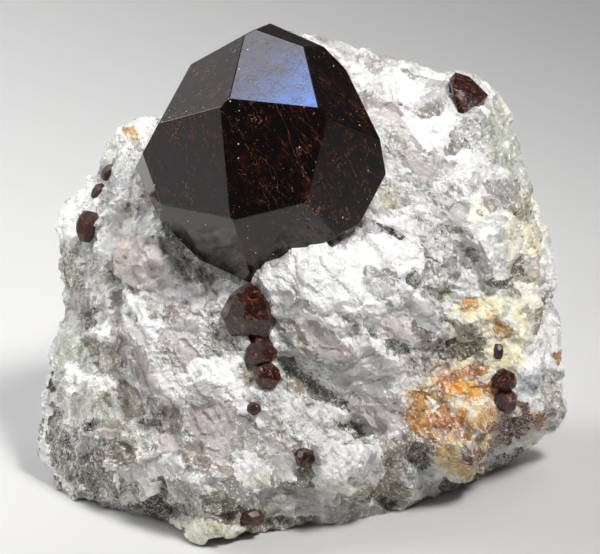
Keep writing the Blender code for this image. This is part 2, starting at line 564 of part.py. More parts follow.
def joined(name, parts):
    """Unites crystals grown together into one solid."""
    first = placed(name, parts[0])
    for i, mesh in enumerate(parts[1:]):
        other = placed(f"{name}_tool_{i}", mesh)
        union = first.modifiers.new("grown together", "BOOLEAN")
        union.operation = "UNION"
        union.solver = "EXACT"
        union.object = other
        apply_modifiers(first)
        bpy.data.objects.remove(other)
    return first


def cluster(name, rows, extra=0.0):
    parts = []
    for u, v, radius, sink, angles in rows:
        parts.append(crystal_mesh(name, small_planes(radius, angles, extra), grain_centre(u, v, sink)))
    return joined(name, parts)


def upper_right(name, extra=0.0):
    """Convex hull of the outline, the ridge and the buried root."""
    outline = np.array(UPPER_RIGHT_OUTLINE)
    middle = outline.mean(axis=0)
    mean = float(SWELL(middle)[0])
    points = []
    for u, v in outline:
        level = mean + 0.6 * (float(SWELL([u, v])[0]) - mean) + UPPER_RIGHT_LIFT
        points.append((u, v, level))
        points.append((middle[0] + 0.8 * (u - middle[0]), middle[1] + 0.8 * (v - middle[1]),
                       level - UPPER_RIGHT_DEEP))
    for u, v in UPPER_RIGHT_RIDGE:
        points.append((u, v, mean + UPPER_RIGHT_PROUD))
    points = np.array(points)
    heart = points.mean(axis=0)
    span = np.linalg.norm(points - heart, axis=1, keepdims=True)
    points = heart + (points - heart) * (1 + extra / span)
    bm = bmesh.new()
    for point in lift(points):
        bm.verts.new(point)
    hull = bmesh.ops.convex_hull(bm, input=bm.verts[:])
    inner = [v for v in hull["geom_interior"] if isinstance(v, bmesh.types.BMVert)]
    bmesh.ops.delete(bm, geom=inner, context="VERTS")
    bmesh.ops.recalc_face_normals(bm, faces=bm.faces[:])
    mesh = bpy.data.meshes.new(name)
    bm.to_mesh(mesh)
    bm.free()
    return placed(name, mesh)


def grains(extra=0.0, suffix=""):
    made = []
    for name, (u, v, radius, sink, angles) in GRAINS.items():
        planes = small_planes(radius, angles, extra)
        mesh = crystal_mesh(name + suffix, planes, grain_centre(u, v, sink), LONG_GRAINS.get(name))
        made.append(placed(name + suffix, mesh))
    return made


def build_garnets(main_extra=0.0, small_extra=0.0, suffix=""):
    made = [placed("garnet_main" + suffix,
                   crystal_mesh("garnet_main", main_planes(main_extra), MAIN_CENTRE))]
    made.append(cluster("garnet_chain" + suffix, CHAIN, small_extra))
    made.append(cluster("garnet_right_pair" + suffix, RIGHT_PAIR, small_extra))
    made.append(upper_right("garnet_upper_right" + suffix, small_extra * 1.6))
    return made + grains(small_extra, suffix)


def cut_sockets(matrix):
    for tool in build_garnets(SOCKET_GAP, SMALL_GAP, "_socket"):
        cut_away(matrix, tool)
    keep_largest_body(matrix)


def material(name, color, roughness):
    made = bpy.data.materials.new(name)
    made.use_nodes = True
    shader = made.node_tree.nodes["Principled BSDF"]
    shader.inputs["Base Color"].default_value = (*color, 1)
    shader.inputs["Roughness"].default_value = roughness
    return made


def main():
    clear_scene()
    matrix = build_matrix()
    cut_sockets(matrix)
    matrix.data.materials.append(material("rock", (0.72, 0.71, 0.69), 0.55))
    garnet = material("garnet", (0.07, 0.015, 0.012), 0.18)
    for obj in build_garnets():
        obj.data.materials.clear()
        obj.data.materials.append(garnet)


main()
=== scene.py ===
"""Garnet in matrix: the looks of a broken quartz and feldspar block with red-black garnets in it.

The rock is laid out in a front view, in millimetres: u to the right, v up, w out to the viewer.
The front view looks down on the block by VIEW_TILT. lift() turns it into the frame's metres.
"""

import math

import bpy
import numpy as np
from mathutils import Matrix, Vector
from mathutils.bvhtree import BVHTree


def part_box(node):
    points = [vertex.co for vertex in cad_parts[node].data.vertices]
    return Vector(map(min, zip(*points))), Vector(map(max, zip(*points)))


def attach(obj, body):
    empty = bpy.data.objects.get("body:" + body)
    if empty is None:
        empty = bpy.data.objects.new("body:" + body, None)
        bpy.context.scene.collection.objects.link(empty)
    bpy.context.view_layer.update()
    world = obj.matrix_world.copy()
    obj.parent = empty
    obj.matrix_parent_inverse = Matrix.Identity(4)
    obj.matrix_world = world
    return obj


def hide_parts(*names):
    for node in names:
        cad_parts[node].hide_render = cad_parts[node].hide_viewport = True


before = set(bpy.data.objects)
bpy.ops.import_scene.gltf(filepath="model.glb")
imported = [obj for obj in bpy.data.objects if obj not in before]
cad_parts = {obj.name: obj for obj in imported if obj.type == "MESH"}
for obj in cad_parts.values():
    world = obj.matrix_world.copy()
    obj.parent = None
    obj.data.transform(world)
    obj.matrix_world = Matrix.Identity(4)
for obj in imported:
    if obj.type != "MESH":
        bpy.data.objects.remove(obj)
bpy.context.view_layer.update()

MM = 0.001
VIEW_TILT = math.radians(20.0)
VIEW_CENTRE = (0.0, -0.00244, 0.0327)  # where u = v = w = 0 lies in the frame
VIEW_DISTANCE = 700.0  # mm from the viewer to the view plane, w = 0
LENS = 280.0
SENSOR = 36.0

MAIN_GARNET = "garnet_main"
GLOSSY_GARNETS = ("garnet_chain", "garnet_upper_right", "garnet_lower", "garnet_right_pair")
DULL_GARNETS = (
    "garnet_tiny", "garnet_right_grain", "garnet_left", "garnet_edge_a", "garnet_edge_b", "garnet_bottom",
)

# ---- the rock's shape, in mm: sound mineral breaks clean, crushed mineral is crumbly

ROCK_VOXEL = 0.33
ROCK_TRIANGLES = 197000
THINNED = (0.45, 0.7)  # how readily the front and the back are thinned out to that number
WELD = 0.002  # corners closer than this are one corner
ROCK_FABRIC = math.radians(-52.0)  # the grain runs down to the right
BURY = 0.12  # how far the rock's lip reaches under a crystal's face
LIP_REACH = (0.45, 0.9)  # walls nearer than the first are pulled under, fading out to the second

# Fracture facets: spacing, step, lean, stretch along the fabric, random seed. The broad ones fade
# out within CALM_REACH of a small crystal, and the others end with their share on sound mineral
# and what crushed mineral adds to it.
BROAD_FRACTURE = (5.2, 0.42, 0.14, 2.2, 5)
FRACTURES = (
    (2.3, 0.28, 0.32, 1.35, 8, 0.7, 0.3),
    (1.15, 0.16, 0.34, 1.2, 13, 0.4, 0.6),
)
CALM_REACH = 2.5
STRETCH = (2.0, 3.5)  # walls between grains drawn out further than this are eased
EASE_ROUNDS = 2
JITTER = (0.006, 0.04)  # how uneven the surface is on sound and on crushed mineral
JITTER_SEED = 41

GRAIN_FLATTEN = 0.6  # how far a grain may be pressed towards its own plane
GRAIN_LEAN = 0.2
LEAN_SEED = 31
FACING = 0.22  # a wall turned further away than this isn't part of the drawn front
BORDER_REACH = 1.5  # borders are measured this far into a grain

# Grains that nobody drew, on the sides and the back: size, stretch along the fabric, seed, step.
CELL_SIZE = 4.6
CELL_STRETCH = 1.5
CELL_SEED = 21
CELL_STEP = 0.35

# ---- the rock's colours

# Lightness of the splinters: spacing, share on sound mineral, what crumb adds to it, random seed.
SPLINTERS = (
    (2.3, 0.12, 0.12, 8),
    (1.15, 0.09, 0.18, 13),
    (0.6, 0.04, 0.24, 17),
)
SPLINTER_STRETCH = 1.35
FACET_SPREAD = (0.01, 0.16)  # lightness of single facets on sound mineral, and what crumb adds
FACET_SIZE = 0.55  # the usual side of a facet; longer ones are drawn out and vary less
FACET_SEED = 77
# A facet gets a painted glint, its colour pushed towards white, when its own random number is under the start
# and a rise, on sound and on crushed mineral; partly these stand for white crushed grains. Where crumb is
# under SOUND there are no glints.
GLINT_START = 0.2
GLINT_RISE = (0.01, 0.16)
SOUND = 0.12
SEAM_WIDTH = 0.3
CRUSHED_EDGE = 0.4  # how far into a pale grain its crushed white edge reaches
FLECKS = (0.55, 3.0, 29)  # dark and white flecks: spacing, stretch along the fabric, seed

# Mineral: colour as on a screen, crumb (how crushed it is), share of dark specks, polish. Some entries are
# partly or wholly painted shade or painted highlight, as marked.
MINERALS = {
    # milky quartz, made near white partly as a painted highlight where the key light burns the lit milky mass
    # out
    "milk": ((252, 252, 251), 0.2, 0.0, 0.5),
    "frost": ((232, 231, 229), 0.4, 0.01, 0.5),
    "clear": ((180, 179, 178), 0.08, 0.0, 0.95),
    "grey": ((160, 159, 156), 0.18, 0.01, 0.9),
    "smoky": ((134, 127, 118), 0.1, 0.0, 0.9),
    # painted shadow: no mineral, a dark colour painted where shade falls, in crack bands under ledges and on
    # shaded faces
    "shadow": ((112, 108, 99), 0.35, 0.15, 0.5),
    "mauve": ((174, 166, 164), 0.08, 0.0, 0.9),
    "rose": ((208, 197, 195), 0.08, 0.0, 0.85),
    "brown": ((159, 148, 137), 0.3, 0.05, 0.7),
    "chalk": ((246, 245, 240), 0.4, 0.0, 0.2),
    "sugar": ((214, 213, 210), 0.8, 0.04, 0.4),
    "grit": ((194, 191, 184), 0.8, 0.12, 0.4),
    "pepper": ((182, 178, 168), 0.75, 0.24, 0.4),
    "schist": ((140, 136, 123), 0.5, 0.3, 0.5),
    # dark mica, and also painted shadow under the rounded knob on the right
    "mica": ((120, 115, 101), 0.5, 0.36, 0.6),
    # dark brown, partly the rock's own and partly painted shade, put in hollows, gaps and under overhanging
    # edges
    "umber": ((84, 75, 58), 0.5, 0.3, 0.4),
    "lichen": ((182, 180, 154), 0.7, 0.3, 0.3),
    "celadon": ((199, 201, 190), 0.25, 0.03, 0.8),
    "cream": ((243, 235, 211), 0.4, 0.04, 0.4),
    "honey": ((216, 196, 148), 0.2, 0.02, 0.8),
    "gold": ((226, 176, 82), 0.3, 0.03, 0.6),
    "ochre": ((200, 158, 88), 0.5, 0.10, 0.4),
    "rust": ((178, 126, 66), 0.5, 0.12, 0.4),
    "russet": ((132, 92, 58), 0.6, 0.25, 0.4),
    "steel": ((180, 184, 189), 0.2, 0.0, 0.8),
}

# What the undrawn cells are made of, as shares: the block, its right side, its foot on the left.
BLOCK_MIX = {"frost": 5, "clear": 5, "grey": 4, "milk": 3, "mauve": 3, "sugar": 4, "pepper": 2, "rose": 1}
RIGHT_MIX = {"cream": 4, "celadon": 3, "frost": 4, "lichen": 1, "sugar": 3, "grey": 2, "milk": 2}
FOOT_MIX = {"schist": 3, "grey": 4, "celadon": 3, "frost": 2, "brown": 2, "clear": 2, "smoky": 1, "pepper": 1}
RIGHT_SIDE = 27.0  # from this u on
RIGHT_RAGGED = 3  # how far the border of the right side wanders
FOOT_TOP = -21.0  # below this v

# Iron and weathering that soak through the grains, and one patch that is partly painted shade: centre u and
# v, reach along both, what is left of red, green and blue, and strength. Each is strongest just inside its
# ragged border.
ROCK_STAINS = (
    # the rust pocket
    (22.8, -19.2, 6.8, 6.4, (0.97, 0.80, 0.50), 0.8),
    (30.9, -22.6, 4.6, 4.2, (0.62, 0.42, 0.20), 1.0),
    (26.5, -26.5, 5.5, 2.6, (0.80, 0.66, 0.38), 0.9),
    (35.5, -21.4, 1.8, 1.6, (0.85, 0.50, 0.12), 0.9),
    (21.6, -16.6, 2.6, 2.0, (0.93, 0.66, 0.20), 0.9),
    (22.8, -22.8, 3.4, 2.0, (0.85, 0.50, 0.18), 0.9),
    (16.8, -22.2, 1.7, 5.0, (0.86, 0.64, 0.32), 0.7),
    # the cream wall above it
    (27.8, -8.7, 6.0, 6.5, (0.98, 0.92, 0.66), 0.8),
    (35.0, 3.5, 4.4, 12.0, (0.98, 0.94, 0.74), 0.9),
    (25.4, -10.4, 2.2, 1.6, (0.80, 0.85, 0.50), 0.7),
    (25.5, -4.2, 1.8, 1.1, (0.97, 0.76, 0.42), 0.9),
    (28.5, -6.9, 1.8, 1.2, (0.85, 0.62, 0.30), 0.7),
    (38.4, -12.3, 1.0, 1.0, (0.80, 0.50, 0.25), 0.8),
    # the foot and the left wall
    (-33.0, -26.0, 9.0, 10.0, (0.86, 0.85, 0.72), 0.8),
    (-3.0, -35.0, 24.0, 5.0, (0.84, 0.82, 0.68), 0.8),
    (-8.5, -36.5, 7.0, 2.6, (0.76, 0.76, 0.64), 0.9),
    (-32.0, -15.0, 6.0, 5.5, (0.78, 0.78, 0.72), 0.8),
    # painted shade: darkens the hollow under the rust pocket's lower edge, partly dark smoky quartz
    (29.8, -28.4, 3.6, 1.8, (0.42, 0.31, 0.24), 0.9),
    (-30.0, 3.0, 6.0, 9.0, (0.97, 0.95, 0.86), 0.6),
)

# ---- materials, crystals and studio

# white of crushed mineral, and of the glints painted on single chips
CRUSHED_AND_GLINT_WHITE = (0.98, 0.98, 0.98, 1)
MILKY = (0.8, 0.8, 0.8, 1)
QUARTZ_IOR = 1.54
GARNET_IOR = 1.57
GLASS_RED = (0.085, 0.012, 0.005, 1)
RUST_ORANGE = (0.26, 0.04, 0.012, 1)
PALE_ORANGE = (0.66, 0.34, 0.16, 1)
# pale dots painted into the garnets' colour as sparkle
SPARKLE_DOT = (0.62, 0.52, 0.44, 1)

# Garnet material: share of rust, colour, lowest and highest roughness.
DARK_GARNET = (0.0, (0.004, 0.0022, 0.002, 1), 0.035, 0.08)
RUSTY_GARNET = (0.9, (0.014, 0.005, 0.004, 1), 0.12, 0.3)
DULL_GARNET = (0.8, (0.02, 0.007, 0.005, 1), 0.4, 0.6)

EDGE_WIDTH = 0.13  # of the main crystal's broken edges
SAME_FACE = math.radians(2)  # triangles that meet at less are one face
CRYSTAL_EDGE = math.radians(25)  # faces that meet at more have a broken edge

FLOOR_SIZE = (4.4, 1.9)
FLOOR_CENTRE = -0.15
COVE_RADIUS = 0.5
COVE_TURN = math.radians(-80)
PAPER = (0.6, 0.6, 0.6, 1)

MIDDLE = (0, 0, 0.035)
WHITE = (1, 1, 1)
# Light: name, azimuth and elevation, distance, size, glow, colour, how wide it spreads, its target.
# Azimuth 0 is towards the viewer, 90 to the right.
LIGHTS = (
    ("key", 38, 56, 0.75, (0.17, 0.17), 92.0, (1.0, 0.985, 0.96), 30, MIDDLE),
    ("overhead", 138.4, 66.7, 0.9, (0.42, 0.42), 3.9, (1.0, 0.98, 1.03), 36, MIDDLE),
    ("front_fill", -42, 34, 0.8, (0.4, 0.4), 2.8, WHITE, 40, MIDDLE),
    ("left", -100, 30, 0.9, (0.6, 0.4), 3.0, WHITE, 110, MIDDLE),
    ("back_left", -137, 27, 1.0, (0.9, 0.8), 0.72, WHITE, 180, MIDDLE),
    ("floor_wash", -110, 66, 0.9, (0.4, 0.4), 44.0, WHITE, 42, (-0.31, 0.20, 0.0)),
    ("floor_left", -90, 60, 0.9, (0.3, 0.3), 26.0, WHITE, 34, (-0.37, -0.10, 0.0)),
    ("blue", 138.4, 66.7, 0.8, (0.12, 0.3), 14.0, (0.02, 0.28, 1.0), 24, MIDDLE),
)
BLUE_ASIDE = (0.0572, -0.0508, 0.0)  # brings its reflection to the right of the upper face
AIR = (0.97, 0.98, 1.0, 1)
AIR_STRENGTH = 0.05

# The grains of the front, each over those before it: mineral, height in mm over its own plane, and
# its corners in the front view, right and up from the middle in mm.
GRAINS = (
    # upper left
    ("chalk", 0.3, (-27.3, 19.1), (-27.6, 21.3), (-26.6, 23.4), (-24.0, 24.8), (-21.0, 25.1),
     (-21.3, 23.6), (-22.5, 21.3), (-24.0, 18.8), (-24.6, 18.0), (-25.5, 18.8), (-26.1, 19.9),
     (-26.7, 20.6)),
    ("ochre", 0.1, (-26.4, 21.9), (-24.9, 22.3), (-24.6, 21.0), (-25.8, 20.7)),
    ("mauve", -0.3, (-25.8, 20.4), (-24.1, 20.8), (-24.0, 19.1), (-24.6, 18.4), (-25.5, 19.3)),
    ("celadon", 0.5, (-28.9, 17.8), (-28.2, 19.6), (-26.8, 20.7), (-26.1, 18.8), (-24.9, 15.3),
     (-25.5, 14.7), (-27.0, 14.1), (-28.1, 15.0)),
    ("clear", 0.2, (-26.8, 20.7), (-25.8, 20.2), (-24.6, 18.3), (-24.0, 17.8), (-24.4, 14.8),
     (-24.9, 15.3), (-26.1, 18.8)),
    ("clear", -0.3, (-30.4, 14.1), (-29.1, 16.3), (-28.1, 15.0), (-26.8, 14.1), (-27.0, 10.8),
     (-30.0, 10.3), (-30.6, 12.3)),
    ("frost", 0.0, (-27.0, 14.1), (-24.9, 15.0), (-23.8, 13.3), (-24.1, 11.5), (-26.7, 10.8)),
    ("pepper", 0.0, (-27.3, 10.8), (-24.1, 11.5), (-22.2, 9.2), (-25.5, 8.1), (-27.6, 8.1)),
    ("rose", 0.0, (-24.3, 11.2), (-23.6, 11.8), (-22.2, 9.4), (-24.0, 9.4)),
    ("chalk", 0.1, (-36.4, 9.2), (-35.1, 10.8), (-33.8, 11.8), (-31.5, 13.9), (-30.3, 13.0),
     (-30.8, 10.8), (-30.3, 8.8), (-32.1, 7.3), (-33.0, 4.8), (-33.9, 3.8), (-35.1, 4.6), (-35.9, 6.3)),
    ("lichen", 0.0, (-36.0, 2.7), (-35.1, 4.6), (-34.2, 4.0), (-33.0, 2.9), (-33.0, 0.3), (-34.2, -2.2),
     (-35.1, -3.3), (-35.7, -1.2)),
    ("grey", 0.0, (-33.0, 4.8), (-30.6, 7.8), (-29.4, 8.2), (-30.0, 6.3), (-30.6, 3.3), (-32.1, 2.2),
     (-33.0, 3.0)),
    ("milk", 0.2, (-30.3, 6.6), (-29.4, 7.3), (-27.9, 6.5), (-27.4, 4.8), (-28.2, 3.1), (-30.3, 3.4)),
    ("frost", 0.1, (-30.3, 8.8), (-26.4, 8.5), (-22.3, 9.2), (-21.0, 6.8), (-21.0, 5.5), (-24.0, 6.1),
     (-27.4, 6.8), (-29.4, 7.3)),
    ("rose", 0.6, (-27.4, 6.8), (-24.0, 6.1), (-21.0, 5.5), (-18.9, 2.2), (-19.2, -0.4), (-22.5, -1.6),
     (-25.8, -1.1), (-27.6, 0.1), (-27.9, 3.1)),
    ("brown", -0.2, (-29.4, 3.0), (-27.9, 2.9), (-27.6, 1.1), (-28.2, -0.9), (-29.2, -0.8)),
    ("grit", 0.0, (-32.1, 2.2), (-30.3, 3.3), (-29.4, 3.0), (-29.2, -0.8), (-30.6, -1.6), (-31.8, -1.2),
     (-32.4, 0.8)),
    ("pepper", -0.2, (-21.0, 5.8), (-18.6, 5.1), (-15.0, 2.2), (-11.7, -0.1), (-11.1, -1.5),
     (-14.1, -0.9), (-16.5, -0.9), (-18.8, -0.3), (-18.9, 2.2), (-20.2, 4.3)),
    # left middle
    ("mauve", 0.2, (-33.0, 0.3), (-31.5, -1.2), (-31.2, -3.4), (-30.3, -6.1), (-31.5, -6.9),
     (-33.3, -6.8), (-34.8, -4.2), (-35.2, -3.4), (-34.2, -1.9)),
    ("frost", 0.0, (-31.5, -1.2), (-29.2, -0.9), (-27.3, -1.6), (-28.2, -4.2), (-28.8, -7.9),
     (-30.6, -8.7), (-31.8, -7.6), (-30.4, -6.1), (-31.0, -3.4)),
    # painted shadow
    ("shadow", -0.2, (-33.0, -5.7), (-30.8, -4.6), (-30.8, -6.8), (-31.5, -8.7), (-33.0, -7.9)),
    ("chalk", 0.0, (-30.3, -6.1), (-28.5, -5.5), (-27.9, -7.9), (-28.8, -9.6), (-30.3, -9.8)),
    ("mauve", -0.3, (-27.3, -1.6), (-26.4, -2.9), (-26.8, -7.9), (-27.6, -10.2), (-28.2, -6.8),
     (-28.1, -3.8)),
    ("clear", 0.1, (-27.0, -2.2), (-26.1, -3.4), (-24.0, -7.2), (-22.3, -9.4), (-20.7, -12.4),
     (-22.2, -13.0), (-24.3, -10.2), (-26.7, -6.8)),
    ("milk", 0.4, (-26.4, -1.6), (-24.9, -1.8), (-22.5, -6.1), (-21.8, -9.3), (-22.8, -9.2),
     (-24.6, -6.1), (-26.1, -3.6)),
    ("frost", 0.2, (-24.3, -1.8), (-21.1, -1.6), (-20.6, -3.4), (-21.0, -6.8), (-22.5, -6.1),
     (-23.7, -3.8)),
    ("grit", 0.0, (-23.6, -3.4), (-21.0, -3.4), (-21.0, -6.5), (-22.2, -6.1)),
    ("brown", -0.1, (-20.7, -3.8), (-18.6, -3.4), (-17.8, -6.1), (-20.7, -6.6)),
    ("pepper", -0.3, (-18.9, -3.0), (-16.8, -3.4), (-16.2, -5.2), (-14.7, -6.0), (-17.4, -6.0),
     (-18.3, -5.2)),
    ("clear", 0.1, (-16.8, -1.9), (-14.1, -1.1), (-11.7, -2.2), (-11.7, -6.3), (-14.4, -6.5),
     (-15.6, -4.3)),
    ("grey", -0.1, (-14.2, -1.5), (-12.9, -1.3), (-11.8, -6.1), (-14.1, -6.1)),
    ("frost", 0.2, (-21.0, -1.6), (-16.5, -1.1), (-14.1, -1.2), (-14.1, -1.9), (-16.5, -2.9),
     (-18.3, -3.1), (-20.2, -3.0)),
    ("milk", 0.3, (-12.9, -0.8), (-9.6, -0.4), (-10.5, -2.9), (-11.7, -3.8), (-12.3, -2.2)),
    ("clear", 0.1, (-21.0, -6.6), (-17.8, -6.1), (-14.4, -6.5), (-14.1, -9.6), (-15.3, -11.2),
     (-17.1, -9.2), (-19.8, -9.2), (-21.4, -8.8)),
    ("mauve", 0.3, (-27.6, -10.2), (-26.7, -6.8), (-24.3, -10.2), (-22.2, -13.0), (-20.2, -15.8),
     (-17.7, -18.9), (-19.8, -18.6), (-22.5, -16.8), (-24.3, -16.2), (-26.4, -13.3)),
    ("brown", -0.3, (-33.0, -9.8), (-30.8, -9.2), (-27.3, -10.0), (-26.4, -13.3), (-25.8, -14.8),
     (-28.5, -15.3), (-30.3, -14.7), (-31.8, -12.2)),
    ("grit", -0.1, (-21.4, -9.4), (-19.8, -9.3), (-18.6, -11.8), (-16.5, -14.2), (-17.7, -15.8),
     (-19.8, -14.1), (-21.6, -12.0)),
    ("mauve", 0.2, (-19.8, -9.2), (-17.1, -9.2), (-15.3, -11.1), (-14.8, -12.4), (-16.8, -14.2),
     (-18.6, -11.8)),
    ("pepper", 0.1, (-14.4, -6.5), (-11.7, -6.5), (-9.0, -9.6), (-7.9, -12.0), (-10.2, -11.4),
     (-12.9, -11.1), (-14.4, -10.0)),
    ("frost", 0.1, (-18.6, -16.2), (-16.5, -14.2), (-14.4, -12.8), (-12.9, -11.1), (-10.2, -11.4),
     (-7.5, -12.6), (-6.3, -14.5), (-6.6, -17.4), (-8.4, -18.8), (-10.2, -19.1), (-11.7, -18.1)),
    ("chalk", 0.2, (-18.0, -15.3), (-16.5, -13.3), (-14.7, -12.0), (-13.9, -13.0), (-15.6, -14.5),
     (-17.4, -16.2)),
    ("lichen", -0.1, (-9.0, -13.3), (-6.9, -12.8), (-6.3, -14.8), (-7.5, -16.6), (-9.0, -16.1)),
    ("milk", 0.2, (-11.4, -13.3), (-9.9, -14.1), (-8.2, -17.2), (-9.2, -18.6), (-10.5, -16.6)),
    ("clear", 0.4, (-17.1, -16.1), (-14.4, -15.1), (-12.0, -16.1), (-11.2, -17.8), (-13.5, -19.2),
     (-16.2, -18.9), (-17.6, -17.6)),
    # lower left
    ("celadon", 0.0, (-35.7, -6.8), (-33.3, -6.8), (-32.7, -10.0), (-31.5, -12.4), (-30.3, -15.0),
     (-33.0, -14.8), (-34.5, -13.3), (-36.0, -14.5), (-37.5, -14.4), (-36.6, -10.2)),
    ("frost", 0.1, (-36.0, -15.4), (-33.0, -14.7), (-30.4, -15.1), (-30.0, -17.6), (-30.4, -19.9),
     (-32.4, -22.1), (-34.2, -23.1), (-35.7, -22.1), (-36.3, -19.2)),
    ("celadon", 0.0, (-38.4, -18.8), (-37.5, -14.4), (-36.0, -15.4), (-36.3, -19.2), (-35.9, -24.4),
     (-37.2, -26.2), (-38.4, -23.7), (-38.7, -20.7)),
    ("umber", -0.4, (-38.1, -14.4), (-36.9, -14.5), (-37.2, -17.2), (-38.1, -16.9)),
    ("frost", 0.2, (-30.4, -15.0), (-28.5, -15.3), (-27.0, -15.3), (-27.1, -18.6), (-28.5, -18.1),
     (-30.0, -17.2)),
    ("grey", -0.2, (-30.0, -17.7), (-28.2, -18.1), (-27.8, -20.2), (-29.4, -21.6), (-30.3, -19.9)),
    ("brown", -0.6, (-27.3, -15.1), (-24.9, -16.1), (-23.6, -18.1), (-22.9, -20.8), (-24.0, -21.6),
     (-26.7, -21.3), (-27.3, -18.6)),
    ("brown", -0.5, (-23.4, -19.3), (-21.0, -18.6), (-18.6, -19.6), (-17.2, -21.4), (-17.6, -23.8),
     (-18.9, -22.8), (-21.0, -22.2), (-22.8, -20.8)),
    ("grit", 0.0, (-23.7, -16.6), (-22.1, -17.2), (-21.0, -18.6), (-21.6, -19.9), (-23.1, -20.6),
     (-23.7, -18.4)),
    ("frost", 0.0, (-34.8, -12.8), (-33.6, -13.3), (-31.2, -17.2), (-30.6, -20.2), (-30.9, -23.8),
     (-32.1, -22.9), (-33.3, -18.4)),
    ("umber", -0.2, (-32.7, -22.2), (-30.9, -21.3), (-30.4, -22.9), (-32.1, -23.7)),
    ("schist", -0.2, (-37.5, -18.8), (-36.3, -19.9), (-35.4, -23.8), (-33.9, -27.4), (-32.1, -30.4),
     (-30.1, -33.0), (-31.8, -33.3), (-34.5, -30.8), (-36.6, -28.3), (-37.8, -24.4)),
    ("frost", 0.0, (-39.6, -24.4), (-38.1, -23.8), (-36.6, -28.3), (-34.2, -33.1), (-36.0, -32.2),
     (-37.8, -29.2), (-39.3, -26.7)),
    ("umber", 0.0, (-38.1, -28.6), (-36.6, -30.1), (-35.7, -33.0), (-36.9, -32.2)),
    ("umber", -0.5, (-35.9, -22.9), (-34.5, -23.8), (-34.0, -26.8), (-35.1, -26.2), (-36.0, -24.6)),
    ("grey", 0.0, (-34.0, -23.1), (-32.1, -23.6), (-30.0, -22.9), (-29.2, -25.2), (-30.4, -27.4),
     (-33.0, -27.3), (-33.8, -25.2)),
    ("mauve", 0.0, (-30.0, -21.6), (-27.3, -21.1), (-26.4, -23.1), (-27.3, -24.4), (-29.1, -24.4),
     (-30.0, -22.9)),
    ("schist", -0.1, (-30.0, -24.4), (-27.0, -24.4), (-26.2, -27.4), (-28.2, -27.3), (-30.0, -25.8)),
    ("umber", -0.1, (-32.4, -25.9), (-30.3, -25.6), (-30.1, -27.8), (-32.4, -28.2)),
    ("frost", 0.3, (-29.4, -27.0), (-28.2, -27.9), (-27.1, -29.2), (-28.3, -29.2), (-29.5, -28.2)),
    ("schist", -0.3, (-34.2, -27.9), (-30.6, -27.9), (-28.2, -30.1), (-25.2, -31.9), (-27.3, -33.3),
     (-30.8, -32.4), (-33.0, -30.6)),
    ("grit", 0.1, (-27.0, -21.4), (-24.0, -21.4), (-21.6, -22.6), (-21.3, -24.4), (-23.1, -27.0),
     (-24.9, -25.6), (-26.1, -23.8)),
    ("smoky", -0.2, (-27.1, -24.0), (-25.2, -25.2), (-23.6, -27.0), (-24.6, -27.9), (-26.4, -26.4)),
    ("mauve", 0.2, (-22.5, -22.9), (-19.2, -22.8), (-17.2, -24.4), (-18.6, -26.2), (-21.0, -26.2),
     (-22.2, -24.8)),
    ("brown", 0.0, (-17.4, -24.4), (-15.3, -24.4), (-13.5, -26.7), (-14.1, -29.1), (-16.5, -29.1),
     (-18.3, -26.8)),
    ("clear", 0.1, (-24.0, -27.0), (-21.0, -26.2), (-18.4, -26.8), (-17.2, -28.9), (-19.2, -30.8),
     (-21.6, -30.3), (-23.4, -28.8)),
    ("clear", 0.0, (-28.2, -28.1), (-24.3, -27.9), (-22.5, -29.5), (-22.5, -30.8), (-25.2, -31.6),
     (-27.6, -30.1)),
    # painted shade in a dark cavity
    ("umber", -1.2, (-21.9, -30.8), (-20.4, -30.4), (-19.9, -32.5), (-21.0, -33.3), (-21.8, -32.2)),
    ("grey", -0.2, (-20.1, -30.4), (-17.4, -29.5), (-15.0, -30.4), (-14.2, -33.4), (-16.5, -33.6),
     (-18.9, -32.2)),
    ("chalk", 0.0, (-24.3, -30.4), (-21.9, -30.4), (-21.4, -33.1), (-23.4, -33.6), (-24.6, -32.2)),
    ("umber", -0.4, (-26.7, -33.6), (-24.0, -33.4), (-21.0, -33.1), (-18.3, -34.9), (-19.2, -36.0),
     (-21.0, -35.4), (-24.0, -35.1), (-26.4, -34.8)),
    ("pepper", 0.0, (-18.6, -33.4), (-15.1, -33.4), (-14.8, -35.9), (-16.8, -36.6), (-18.6, -35.4)),
    ("schist", -0.3, (-15.0, -33.0), (-11.4, -31.8), (-8.7, -33.4), (-9.3, -35.5), (-13.2, -35.2),
     (-14.7, -34.6)),
    ("umber", -0.8, (-13.5, -35.5), (-9.3, -35.5), (-11.1, -36.9)),
    ("chalk", 0.4, (-19.1, -35.9), (-15.0, -36.4), (-11.1, -37.2), (-7.8, -36.4), (-7.2, -37.6),
     (-9.6, -39.3), (-14.1, -39.8), (-17.8, -39.8), (-19.1, -37.9)),
    # lower middle
    ("mauve", 0.1, (-17.4, -19.2), (-14.7, -19.3), (-11.7, -18.4), (-9.3, -19.2), (-8.7, -22.9),
     (-9.4, -25.9), (-11.1, -29.1), (-13.8, -27.4), (-15.3, -24.4), (-17.4, -22.9)),
    ("grey", -0.2, (-9.0, -20.7), (-6.6, -21.1), (-5.4, -24.4), (-6.3, -26.8), (-8.4, -25.9),
     (-9.3, -22.9)),
    ("frost", 0.1, (-9.6, -26.1), (-8.4, -25.9), (-5.7, -27.0), (-4.0, -28.9), (-4.8, -32.1),
     (-7.5, -32.7), (-9.6, -30.6), (-10.5, -28.3)),
    ("clear", 0.1, (-6.6, -21.4), (-4.5, -22.9), (-2.2, -25.5), (0.1, -28.9), (-0.6, -30.6),
     (-3.0, -30.6), (-5.4, -27.1)),
    ("grey", 0.0, (-14.1, -29.1), (-11.1, -29.1), (-9.6, -30.6), (-7.5, -32.7), (-9.0, -33.9),
     (-11.7, -32.2), (-14.1, -30.4)),
